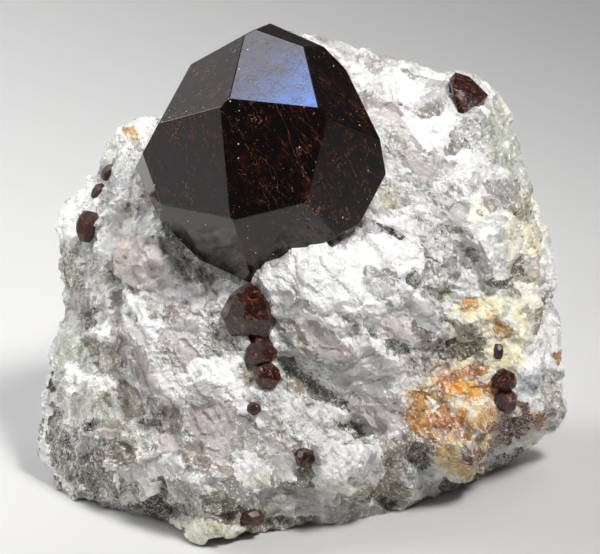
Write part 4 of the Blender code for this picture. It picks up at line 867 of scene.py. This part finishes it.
def away_from_small_garnets(points):
    """0 close to a small crystal and 1 away from it, so that none is buried or laid bare."""
    share = np.ones(len(points))
    for node in GLOSSY_GARNETS + DULL_GARNETS:
        low, high = corners_of(node)
        centre = unlift([(low + high) / 2])[0]
        radius = np.linalg.norm(high - low) / 2 / MM
        gap = np.linalg.norm(points - centre, axis=1) - radius
        share = np.minimum(share, np.clip(gap / CALM_REACH, 0, 1))
    return share


def surface_push(points, crumb):
    """How far the fracture facets stand out of the rock, or into it, at every vertex."""
    push = fracture_depth(points, *BROAD_FRACTURE) * away_from_small_garnets(points)
    for *facets, sound, crushed in FRACTURES:
        push += fracture_depth(points, *facets) * (sound + crushed * crumb)
    uneven = np.random.default_rng(JITTER_SEED).normal(0, 1, len(points))
    return push + uneven * blend(JITTER, crumb)


def ease_walls(mesh, before, moved):
    """Spreads the drawn-out walls between grains, so that their facets stay even."""
    a, b = whole_numbers_of(mesh.edges, "vertices", 2).T
    count = len(before)
    length = np.linalg.norm(before[a] - before[b], axis=1) + 1e-9
    for _ in range(EASE_ROUNDS):
        stretch = np.linalg.norm(moved[a] - moved[b], axis=1) / length
        pull = np.clip((stretch - STRETCH[0]) / (STRETCH[1] - STRETCH[0]), 0, 1)
        weight = 1 + np.bincount(a, pull, count) + np.bincount(b, pull, count)
        total = [
            column + np.bincount(a, pull * column[b], count) + np.bincount(b, pull * column[a], count)
            for column in moved.T
        ]
        moved = np.stack(total, axis=1) / weight[:, None]
    return moved


def skin_within(tree, points, reach):
    """Number of the point, nearest spot on a crystal, its normal and the gap, for points within reach."""
    for i, point in enumerate(points):
        spot, normal, _, gap = tree.find_nearest(Vector(point), reach)
        if spot is not None:
            yield i, spot, normal, gap


def tuck_under_crystals(points):
    """Pulls the walls of each socket just under the crystal's faces, so no gap shows."""
    inner, outer = (reach * MM for reach in LIP_REACH)
    moved = points.copy()
    for node in (MAIN_GARNET,) + GLOSSY_GARNETS + DULL_GARNETS:
        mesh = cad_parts[node].data
        tree = BVHTree.FromPolygons([v.co for v in mesh.vertices], [p.vertices[:] for p in mesh.polygons])
        low, high = corners_of(node)
        close = np.where(((points > low - outer) & (points < high + outer)).all(axis=1))[0]
        for i, spot, normal, gap in skin_within(tree, points[close], outer):
            target = np.array(spot - normal * BURY * MM)
            share = min(max((outer - gap) / (outer - inner), 0.0), 1.0)
            moved[close[i]] += (target - moved[close[i]]) * share
    return moved


def even_skin():
    """The rock's CAD mesh as one skin of small even faces."""
    rock = copy_of_node("matrix", "rock")
    even = rock.modifiers.new("even", "REMESH")
    even.mode = "VOXEL"
    even.voxel_size = ROCK_VOXEL * MM
    soften = rock.modifiers.new("soften", "SMOOTH")
    soften.factor = 0.5
    soften.iterations = 3
    apply_all(rock)
    return rock


def thin_out(rock, front):
    """Brings the rock down to ROCK_TRIANGLES."""
    group = rock.vertex_groups.new(name="back")
    for side, weight in zip((front, ~front), THINNED):
        group.add(np.where(side)[0].tolist(), weight, "REPLACE")
    thin = rock.modifiers.new("thin out", "DECIMATE")
    thin.ratio = min(1.0, ROCK_TRIANGLES / (2 * len(rock.data.polygons)))
    thin.vertex_group = group.name
    thin.use_collapse_triangulate = True
    apply_all(rock)
    rock.vertex_groups.clear()


def drop_stray_faces(rock):
    """Deletes triangles that lie back to back on the same corners, and fins with an open edge."""
    merge_close_corners(rock)
    mesh = rock.data
    corners = np.sort(triangle_corners(mesh), axis=1)
    _, kind, count = np.unique(corners, axis=0, return_inverse=True, return_counts=True)
    sides = whole_numbers_of(mesh.loops, "edge_index", 1).ravel()
    is_open = np.bincount(sides, minlength=len(mesh.edges)) == 1
    stray = (count[kind.ravel()] > 1) | is_open[sides].reshape(-1, 3).any(axis=1)
    select_nothing("FACE")
    mesh.polygons.foreach_set("select", stray)
    bpy.ops.object.mode_set(mode="EDIT")
    bpy.ops.mesh.delete(type="ONLY_FACE")
    bpy.ops.mesh.select_all(action="SELECT")
    bpy.ops.mesh.delete_loose(use_verts=True, use_edges=True, use_faces=False)
    bpy.ops.object.mode_set(mode="OBJECT")


def shape_rock():
    """The broken rock, its facets coloured, standing on the ground with its sockets closed."""
    rock = even_skin()
    mesh = rock.data
    points = unlift(vectors_of(mesh.vertices, "co"))
    normals = turned_to_front(vectors_of(mesh.vertices, "normal"))
    keep_vectors(mesh, "home", points)
    keep_vectors(mesh, "home normal", normals)
    grain, mineral, _, step = sort_into_grains(points, normals)
    _, crumb, _, _ = mineral_finish(mineral)
    pressed = flatten_grains(points, normals, grain, step)
    pressed += normals * surface_push(points, crumb)[:, None]
    placed = lift(ease_walls(mesh, points, pressed))
    placed[:, 2] = np.maximum(placed[:, 2], 0.0)
    mesh.vertices.foreach_set("co", tuck_under_crystals(placed).astype(np.float32).ravel())
    mesh.update()
    thin_out(rock, normals[:, 2] >= 0)
    colour_rock(mesh)
    drop_stray_faces(rock)
    return rock


# ---------------------------------------------------------------- the rock's colours


def drift(points, spacing):
    """A smooth pattern from -1 to 1, by which specks and seams gather and thin out."""
    u, v, w = (points / spacing).T
    folds = np.sin(u + 1.7 * np.sin(0.8 * v + w)) * np.sin(1.1 * v - 1.3 * np.sin(0.9 * u - w))
    return folds * np.cos(0.7 * w)


def stain_rock(colour, points):
    """Soaks ROCK_STAINS into the colours, with ragged borders, on the rock's front half."""
    flat = seen_from_front(points)
    ragged = 0.2 * drift(points, 0.9) + 0.16 * drift(points, 0.37)
    facing = np.clip(points[:, 2] / 6 + 1.5, 0, 1)
    for u, v, wide, high, left, strength in ROCK_STAINS:
        away = np.hypot((flat[:, 0] - u) / wide, (flat[:, 1] - v) / high) + ragged
        rim = np.exp(-(((away - 0.8) / 0.22) ** 2))
        share = np.clip((1.1 - away) / 0.12, 0, 1) * (0.55 + 0.45 * rim) * strength * facing
        colour = colour * (1 - share[:, None] * (1 - np.array(left)))
    return colour


def calm_of(mesh, corners, whole):
    """How freely each facet may vary: little where it is drawn out or spans two grains."""
    points = vectors_of(mesh.vertices, "co")[corners] / MM
    longest = np.linalg.norm(points - np.roll(points, 1, axis=1), axis=2).max(axis=1)
    return np.clip(2.4 - longest / FACET_SIZE, 0.15, 1.0) * np.where(whole, 1.0, 0.4)


def crush_edges(colour, crumb, border, gather):
    """Whitens pale grains along their borders, and crumbles them there."""
    pale = colour.mean(axis=1) > 0.4
    edge = np.clip(1.2 - border / (CRUSHED_EDGE * (1 + 0.7 * gather)), 0, 1) * pale
    whitened = colour + (0.93 - colour) * 0.45 * edge[:, None]
    return whitened, crumb + np.maximum(0.9 - crumb, 0) * edge


def facet_light(points, crumb, chance):
    """How much lighter or darker than its grain each facet is."""
    light = np.zeros(len(points))
    for spacing, sound, crushed, seed in SPLINTERS:
        _, numbers, _ = nearest_cell(fabric_space(points, SPLINTER_STRETCH), spacing, seed)
        light += (numbers[:, 4] - 0.5) * 2 * (sound + crushed * crumb)
    sound, crushed = FACET_SPREAD
    return light + (chance - 0.5) * 2 * (sound + crushed * crumb)


def pick_flecks(points, border, crumb, specks, free, gather, chance):
    """Which facets are painted glints, which are white seams, and which of the others are dark specks and
    seams.
    """
    spacing, stretch, seed = FLECKS
    _, numbers, _ = nearest_cell(fabric_space(points, stretch), spacing, seed)
    glint, speck = 0.5 * chance[0] + 0.5 * numbers[:, 4], chance[1]
    white = glint < GLINT_START + blend(GLINT_RISE, crumb) * free
    white &= crumb * free > SOUND
    white |= (border < SEAM_WIDTH * (1 + gather)) & (glint < 0.5 * free)
    dark = (numbers[:, 2] < specks * (0.5 + 0.35 * gather)) & (speck < 0.75)
    dark |= (border < SEAM_WIDTH * 0.5) & (drift(points, 3.7) < -0.45) & (speck < 0.5 * free)
    return white, dark & ~white


def colour_rock(mesh):
    """Gives each facet its colour and finish from the grain it was broken out of."""
    home = take_vectors(mesh, "home")
    home_normal = take_vectors(mesh, "home normal")
    corners = triangle_corners(mesh)
    grain, mineral, border, _ = sort_into_grains(home, home_normal)
    first = corners[np.arange(len(corners)), grain[corners].argmax(axis=1)]
    whole = (grain[corners] == grain[first][:, None]).all(axis=1)
    points = np.where(whole[:, None], home[corners].mean(axis=1), home[first])
    border = border[corners].mean(axis=1)
    free = calm_of(mesh, corners, whole)
    gather = drift(points, 2.3)
    colour, crumb, specks, polish = mineral_finish(mineral[first])
    colour, crumb = crush_edges(colour, crumb, border, gather)
    chance = np.random.default_rng(FACET_SEED).random((4, len(points)))
    light = facet_light(points, crumb, chance[0])
    colour = stain_rock(colour * (1 + light * free)[:, None], points)
    white, dark = pick_flecks(points, border, crumb, specks, free, gather, chance[1:3])
    # painted glints, and white seams of crushed mineral
    colour[white] = 0.45 * colour[white] + 0.53
    colour[dark] *= (0.3 + 0.35 * chance[3][dark])[:, None]
    colour_faces(mesh, "tint", np.clip(colour, 0.01, 0.97))
    for name, values in (("crumb", crumb), ("specks", specks), ("polish", polish)):
        paint_faces(mesh, name, values)


# ---------------------------------------------------------------- shading helpers


class Shading:
    """A node tree being built: each call adds one node and gives back its output socket."""

    def __init__(self, tree):
        self.tree = tree

    def put(self, socket, value):
        if isinstance(value, bpy.types.NodeSocket):
            self.tree.links.new(value, socket)
        elif value is not None:
            socket.default_value = value

    def node(self, kind, **inputs):
        """A node with its inputs linked or set."""
        node = self.tree.nodes.new("ShaderNode" + kind)
        for name, value in inputs.items():
            self.put(node.inputs[name], value)
        return node

    def attribute(self, name, output="Fac"):
        node = self.node("Attribute")
        node.attribute_name = name
        return node.outputs[output]

    def millimetres(self):
        """Object coordinates in millimetres."""
        place = self.node("TexCoord").outputs["Object"]
        return self.node("Mapping", Vector=place, Scale=(1 / MM,) * 3).outputs["Vector"]

    def turned(self, vector, angles, size):
        """The vector for a pattern that is turned by angles, in radians, and drawn size times as large."""
        node = self.node("Mapping")
        node.vector_type = "TEXTURE"
        for name, value in (("Rotation", angles), ("Scale", size), ("Vector", vector)):
            self.put(node.inputs[name], value)
        return node.outputs["Vector"]

    def math(self, operation, *values):
        node = self.node("Math")
        node.operation = operation
        for socket, value in zip(node.inputs, values):
            self.put(socket, value)
        return node.outputs[0]

    def times(self, a, b):
        return self.math("MULTIPLY", a, b)

    def times_plus(self, a, b, added):
        return self.math("MULTIPLY_ADD", a, b, added)

    def less(self, a, b):
        return self.math("SUBTRACT", a, b)

    def largest(self, first, *others):
        for other in others:
            first = self.math("MAXIMUM", first, other)
        return first

    def between(self, value, low, high, out_low=0.0, out_high=1.0):
        """Eases value from low..high to out_low..out_high."""
        node = self.node("MapRange")
        node.interpolation_type = "SMOOTHSTEP"
        for socket, given in zip(node.inputs, (value, low, high, out_low, out_high)):
            self.put(socket, given)
        return node.outputs[0]

    def noise(self, vector, scale, detail=2.0, roughness=0.5, distortion=0.0):
        node = self.node(
            "TexNoise", Vector=vector, Scale=scale, Detail=detail, Roughness=roughness, Distortion=distortion
        )
        return node.outputs["Fac"]

    def cells(self, vector, scale, metric="EUCLIDEAN"):
        """The node's outputs: the distance to the nearest seed, and its cell's random colour."""
        node = self.node("TexVoronoi", Vector=vector, Scale=scale)
        node.distance = metric
        return node.outputs

    def number_of(self, cells):
        """Each cell's random number."""
        return self.node("SeparateColor", Color=cells["Color"]).outputs["Red"]

    def mix(self, share, a, b, way="MIX"):
        node = self.node("Mix")
        node.data_type = "RGBA"
        node.blend_type = way
        for place, value in ((0, share), (6, a), (7, b)):
            self.put(node.inputs[place], value)
        return node.outputs[2]

    def away_from(self, vector, centre):
        node = self.node("VectorMath")
        node.operation = "DISTANCE"
        self.put(node.inputs[0], vector)
        self.put(node.inputs[1], centre)
        return node.outputs["Value"]

    def bump(self, height, strength):
        return self.node("Bump", Strength=strength, Distance=MM, Height=height).outputs["Normal"]

    def threads(self, veins, vector, width, cover):
        """The mask of the veins group."""
        node = self.node("Group")
        node.node_tree = veins
        for name, value in (("Vector", vector), ("Width", width), ("Cover", cover)):
            self.put(node.inputs[name], value)
        return node.outputs["Mask"]


def new_material(name):
    material = bpy.data.materials.new(name)
    material.use_nodes = True
    shader = material.node_tree.nodes["Principled BSDF"]
    return material, Shading(material.node_tree), shader


def vein_group():
    """Thin ragged threads that run with the noise's own folds, broken into patches."""
    group = bpy.data.node_groups.new("veins", "ShaderNodeTree")
    for name, kind in (("Vector", "Vector"), ("Width", "Float"), ("Cover", "Float")):
        group.interface.new_socket(name=name, in_out="INPUT", socket_type="NodeSocket" + kind)
    group.interface.new_socket(name="Mask", in_out="OUTPUT", socket_type="NodeSocketFloat")
    given = group.nodes.new("NodeGroupInput").outputs
    result = group.nodes.new("NodeGroupOutput").inputs
    s = Shading(group)
    away = s.math("ABSOLUTE", s.less(s.noise(given["Vector"], 1.0, 3.0, 0.6, 0.4), 0.5))
    line = s.between(away, 0.0, given["Width"], 1.0, 0.0)
    patch = s.noise(given["Vector"], 0.9, 3.0, 0.7)
    gate = s.less(patch, s.less(1.0, given["Cover"]))
    s.put(result["Mask"], s.times(line, s.between(gate, -0.05, 0.08)))
    return group


# ---------------------------------------------------------------- the rock's material


def stone_lightness(s, veins, place, fabric, shade, crumb, specks):
    """Sandy shading, dirty cracks and long streaks along the fabric, around 1."""
    sandy = s.between(shade, 0.3, 0.7, -0.5, 0.5)
    lightness = s.times_plus(sandy, s.times_plus(crumb, 0.2, 0.10), 1.0)
    cracks = s.threads(veins, s.turned(fabric, (0.5, 0.3, 0), (0.8, 0.45, 0.45)), 0.06, 0.55)
    dirty = s.times(cracks, s.between(specks, 0.02, 0.4, 0.0, 0.6))
    lightness = s.times(lightness, s.less(1.0, dirty))
    long_noise = s.noise(s.turned(place, (0, -ROCK_FABRIC, 0), (6.0, 0.8, 0.8)), 1.0, 3.0, 0.6)
    strength = s.between(specks, 0.03, 0.25, 0.04, 0.3)
    streaks = s.times(s.between(long_noise, 0.36, 0.62, -1.0, 0.7), strength)
    return s.times(lightness, s.math("ADD", 1.0, streaks))


def milky_clouds(s, fabric, polish):
    cloud = s.between(s.noise(fabric, 0.32, 3.0, 0.55, 0.8), 0.46, 0.76, 0.0, 0.45)
    return s.times(cloud, s.between(polish, 0.45, 0.9))


def crushed_white_and_glints(s, veins, place, fabric, chips, crumb):
    """Painted glints as sparks on single chips, white curls where the mineral is crushed, and fine hairs."""
    patchy = s.between(s.noise(place, 0.55, 3.0, 0.65), 0.35, 0.65, 0.02, 0.2)
    chance = s.times(patchy, s.between(crumb, 0.15, 0.75, 0.12, 1.1))
    picked = s.math("LESS_THAN", s.number_of(chips), chance)
    spark = s.times(picked, s.between(chips["Distance"], 0.35, 0.6, 1.0, 0.0))
    hair = s.threads(veins, s.turned(fabric, (0.3, 0.2, 0), (1.3, 0.6, 0.6)), 0.04, 0.45)
    curl = s.threads(veins, s.turned(fabric, (0.2, 0.1, 0), (0.55, 0.34, 0.34)), 0.07, 0.5)
    curls = s.times(curl, s.between(crumb, 0.2, 0.7, 0.1, 0.7))
    return s.largest(spark, curls, s.times(hair, 0.7))


def stone_relief(s, shade, white, shards, chips, crumb):
    """Fine relief in millimetres, stronger where the mineral is crushed."""
    height = s.times(shade, s.times_plus(crumb, 0.22, 0.05))
    height = s.times_plus(white, 0.05, height)
    height = s.less(height, s.times(shards["Distance"], s.times_plus(crumb, 0.22, 0.02)))
    return s.less(height, s.times(chips["Distance"], s.times_plus(crumb, 0.045, 0.035)))


def rock_material(veins):
    material, s, shader = new_material("broken quartz")
    place = s.millimetres()
    crumb, specks, polish = (s.attribute(name) for name in ("crumb", "specks", "polish"))
    fabric = s.turned(place, (0, -ROCK_FABRIC, 0), (1.8, 1.0, 1.0))
    shade = s.noise(fabric, 1.3, 5.0, 0.7, 0.5)
    shards = s.cells(fabric, 1.5, "MANHATTAN")
    chips = s.cells(fabric, 4.2, "MANHATTAN")
    lightness = stone_lightness(s, veins, place, fabric, shade, crumb, specks)
    colour = s.mix(1.0, s.attribute("tint", "Color"), lightness, "MULTIPLY")
    colour = s.mix(milky_clouds(s, fabric, polish), colour, MILKY)
    white = crushed_white_and_glints(s, veins, place, fabric, chips, crumb)
    # crushed white and painted glints laid over the colour
    s.put(shader.inputs["Base Color"], s.mix(s.times(white, 0.85), colour, CRUSHED_AND_GLINT_WHITE))
    uneven = s.between(s.noise(place, 1.6, 2.0), 0.3, 0.7, -0.06, 0.08)
    rough = s.math("ADD", uneven, s.between(polish, 0.2, 1.0, 0.38, 0.1))
    s.put(shader.inputs["Roughness"], rough)
    s.put(shader.inputs["Normal"], s.bump(stone_relief(s, shade, white, shards, chips, crumb), 0.9))
    shader.inputs["IOR"].default_value = QUARTZ_IOR
    return material


# ---------------------------------------------------------------- the garnets' materials


def garnet_threads(s, veins, place, flow):
    """Long and short rusty hairs with the flow, broken into pieces."""
    long_hair = s.threads(veins, s.turned(flow, (0, 0, 0), (10.0, 2.0, 2.0)), 0.006, 0.5)
    short_hair = s.threads(veins, s.turned(flow, (0, 0.3, 0.2), (2.6, 1.0, 1.0)), 0.011, 0.42)
    broken = s.between(s.noise(place, 3.2, 2.0, 0.7), 0.4, 0.55, 0.2, 1.0)
    return s.times(s.largest(long_hair, s.times(short_hair, 0.8)), broken)


def garnet_stains(s, place):
    """Dots of rust that gather where GARNET_STAINS are."""
    spots = []
    for *centre, radius in GARNET_STAINS:
        away = s.away_from(place, tuple(lift([centre])[0] / MM))
        spots.append(s.between(away, radius * 0.3, radius, 1.0, 0.0))
    dots = s.between(s.noise(place, 2.6, 3.0, 0.7), 0.56, 0.66)
    return s.times(s.largest(*spots), dots)


def garnet_rust(s, veins, place, flow, rust_share):
    """Where the crystal is orange: stains, threads, scattered dots and a rusty glow."""
    scattered = s.times(s.between(s.noise(place, 2.9, 1.0, 0.6), 0.74, 0.77), 0.9)
    glow = s.between(s.noise(place, 1.1, 4.0, 0.7, 0.8), 0.52, 0.66, 0.0, 0.4 * rust_share)
    marks = (garnet_stains(s, place), garnet_threads(s, veins, place, flow), scattered)
    return s.largest(*(s.times(mark, 0.6) for mark in marks), glow)


def painted_sparkle(s, place):
    """Painted sparkle: small round pale dots of different sizes, in about half of the cells."""
    cells = s.cells(place, 0.8)
    return s.math("LESS_THAN", cells["Distance"], s.between(s.number_of(cells), 0.45, 1.0, 0.0, 0.1))


def garnet_material(veins, name, rust_share, base, rough_low, rough_high):
    material, s, shader = new_material(name)
    place = s.millimetres()
    flow = s.turned(place, (0, math.radians(60), 0), (1.0, 1.0, 1.0))
    general = s.times(s.between(s.noise(place, 0.9, 4.0, 0.68), 0.5, 0.66), rust_share)
    cloud = s.between(s.noise(flow, 0.7, 5.0, 0.7, 0.6), 0.52, 0.68)
    red = s.largest(s.times(cloud, 0.45), s.times(general, 0.9))
    orange = garnet_rust(s, veins, place, flow, rust_share)
    orange_colour = s.mix(s.noise(place, 1.7, 2.0), RUST_ORANGE, PALE_ORANGE)
    colour = s.mix(orange, s.mix(red, base, GLASS_RED), orange_colour)
    # painted sparkle dots laid over the garnet's colour
    s.put(shader.inputs["Base Color"], s.mix(painted_sparkle(s, place), colour, SPARKLE_DOT))
    rough = s.between(s.noise(place, 0.5, 4.0, 0.6), 0.35, 0.7, rough_low, rough_high)
    s.put(shader.inputs["Roughness"], s.times_plus(orange, 0.15, rough))
    relief = s.times_plus(s.noise(place, 0.22, 1.0), 0.03, s.times(red, 0.008))
    relief = s.times_plus(s.noise(place, 2.6, 3.0, 0.6), 0.008, relief)
    relief = s.times_plus(orange, 0.04, relief)
    s.put(shader.inputs["Normal"], s.bump(relief, 0.5))
    shader.inputs["IOR"].default_value = GARNET_IOR
    return material


# ---------------------------------------------------------------- the main garnet


def shape_main_garnet():
    """The crystal with its edges just broken."""
    garnet = copy_of_node(MAIN_GARNET, "garnet_crystal")
    bpy.ops.object.mode_set(mode="EDIT")
    bpy.ops.mesh.select_all(action="SELECT")
    bpy.ops.mesh.dissolve_limited(angle_limit=SAME_FACE)
    bpy.ops.object.mode_set(mode="OBJECT")
    edges = garnet.modifiers.new("broken edges", "BEVEL")
    edges.width = EDGE_WIDTH * MM
    edges.segments = 2
    edges.limit_method = "ANGLE"
    edges.angle_limit = CRYSTAL_EDGE
    apply_all(garnet)
    return garnet


# ---------------------------------------------------------------- studio


def curve_up_behind(floor):
    """Sweeps the floor's rear edge up into a cove."""
    mesh = floor.data
    select_nothing("EDGE")
    back = max(v.co.y for v in mesh.vertices)
    for edge in mesh.edges:
        edge.select = all(mesh.vertices[i].co.y > back - 0.01 for i in edge.vertices)
    bpy.ops.object.mode_set(mode="EDIT")
    bpy.ops.mesh.spin(steps=20, angle=COVE_TURN, center=(0, back, COVE_RADIUS), axis=(1, 0, 0))
    bpy.ops.mesh.select_all(action="SELECT")
    bpy.ops.mesh.normals_make_consistent(inside=False)
    bpy.ops.object.mode_set(mode="OBJECT")


def build_studio():
    """A pale floor that curves up behind."""
    bpy.ops.object.select_all(action="DESELECT")
    bpy.ops.mesh.primitive_plane_add(size=1.0, location=(0, FLOOR_CENTRE, 0))
    floor = bpy.context.active_object
    floor.name = "studio_floor"
    floor.scale = (*FLOOR_SIZE, 1.0)
    bpy.ops.object.transform_apply(location=True, scale=True)
    curve_up_behind(floor)
    select_only(floor)
    bpy.ops.object.shade_smooth()
    material, _, shader = new_material("studio paper")
    shader.inputs["Base Color"].default_value = PAPER
    shader.inputs["Roughness"].default_value = 0.9
    floor.data.materials.append(material)


def aimed(obj, place, target):
    obj.location = place
    obj.rotation_euler = (Vector(target) - Vector(place)).to_track_quat("-Z", "Y").to_euler()


def direction(azimuth, elevation):
    """Unit vector: azimuth 0 is towards the viewer, 90 to the right."""
    a, e = math.radians(azimuth), math.radians(elevation)
    return Vector((math.sin(a) * math.cos(e), -math.cos(a) * math.cos(e), math.sin(e)))


def soft_light(name, azimuth, elevation, distance, size, glow, color, spread, target):
    """A rectangle that shines with the same glow along its axis however it is shuttered."""
    light = bpy.data.lights.new(name, "AREA")
    light.shape = "RECTANGLE"
    light.size, light.size_y = size
    half = math.radians(spread) / 2
    shutter = 1.0 if spread >= 180 else (math.tan(half) - half) / math.tan(half)
    light.energy = glow * math.pi * size[0] * size[1] * shutter
    light.spread = 2 * half
    light.color = color
    obj = bpy.data.objects.new(name, light)
    bpy.context.scene.collection.objects.link(obj)
    aimed(obj, Vector(target) + direction(azimuth, elevation) * distance, target)
    return obj


def build_lights():
    lights = {name: soft_light(name, *settings) for name, *settings in LIGHTS}
    blue = lights["blue"]
    blue.location += Vector(BLUE_ASIDE)
    blue.visible_diffuse = False  # it only shows as a reflection
    world = bpy.data.worlds.new("studio air")
    bpy.context.scene.world = world
    world.use_nodes = True
    background = world.node_tree.nodes["Background"]
    background.inputs["Color"].default_value = AIR
    background.inputs["Strength"].default_value = AIR_STRENGTH


def build_camera():
    camera = bpy.data.cameras.new("camera")
    camera.lens = LENS
    camera.sensor_width = SENSOR
    camera.clip_start = 0.05
    camera.clip_end = 20
    obj = bpy.data.objects.new("camera", camera)
    bpy.context.scene.collection.objects.link(obj)
    place = lift([[0, 0, VIEW_DISTANCE]])[0]
    aimed(obj, Vector(place), VIEW_CENTRE)
    bpy.context.scene.camera = obj


def finish_piece(piece, node, material, angle):
    """Faces that meet at less than the angle, in degrees, are shaded as one."""
    piece.data.materials.append(material)
    select_only(piece)
    bpy.ops.object.shade_smooth_by_angle(angle=math.radians(angle))
    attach(piece, "root")
    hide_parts(node)


def colour_nodes(names, material):
    for name in names:
        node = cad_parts[name]
        node.data.materials.clear()
        node.data.materials.append(material)


def main():
    build_camera()
    build_studio()
    build_lights()
    veins = vein_group()
    finish_piece(shape_rock(), "matrix", rock_material(veins), 6)
    dark = garnet_material(veins, "dark garnet", *DARK_GARNET)
    finish_piece(shape_main_garnet(), MAIN_GARNET, dark, 3)
    colour_nodes(GLOSSY_GARNETS, garnet_material(veins, "rusty garnet", *RUSTY_GARNET))
    colour_nodes(DULL_GARNETS, garnet_material(veins, "dull garnet", *DULL_GARNET))
    bpy.context.scene.view_settings.view_transform = "Standard"


main()
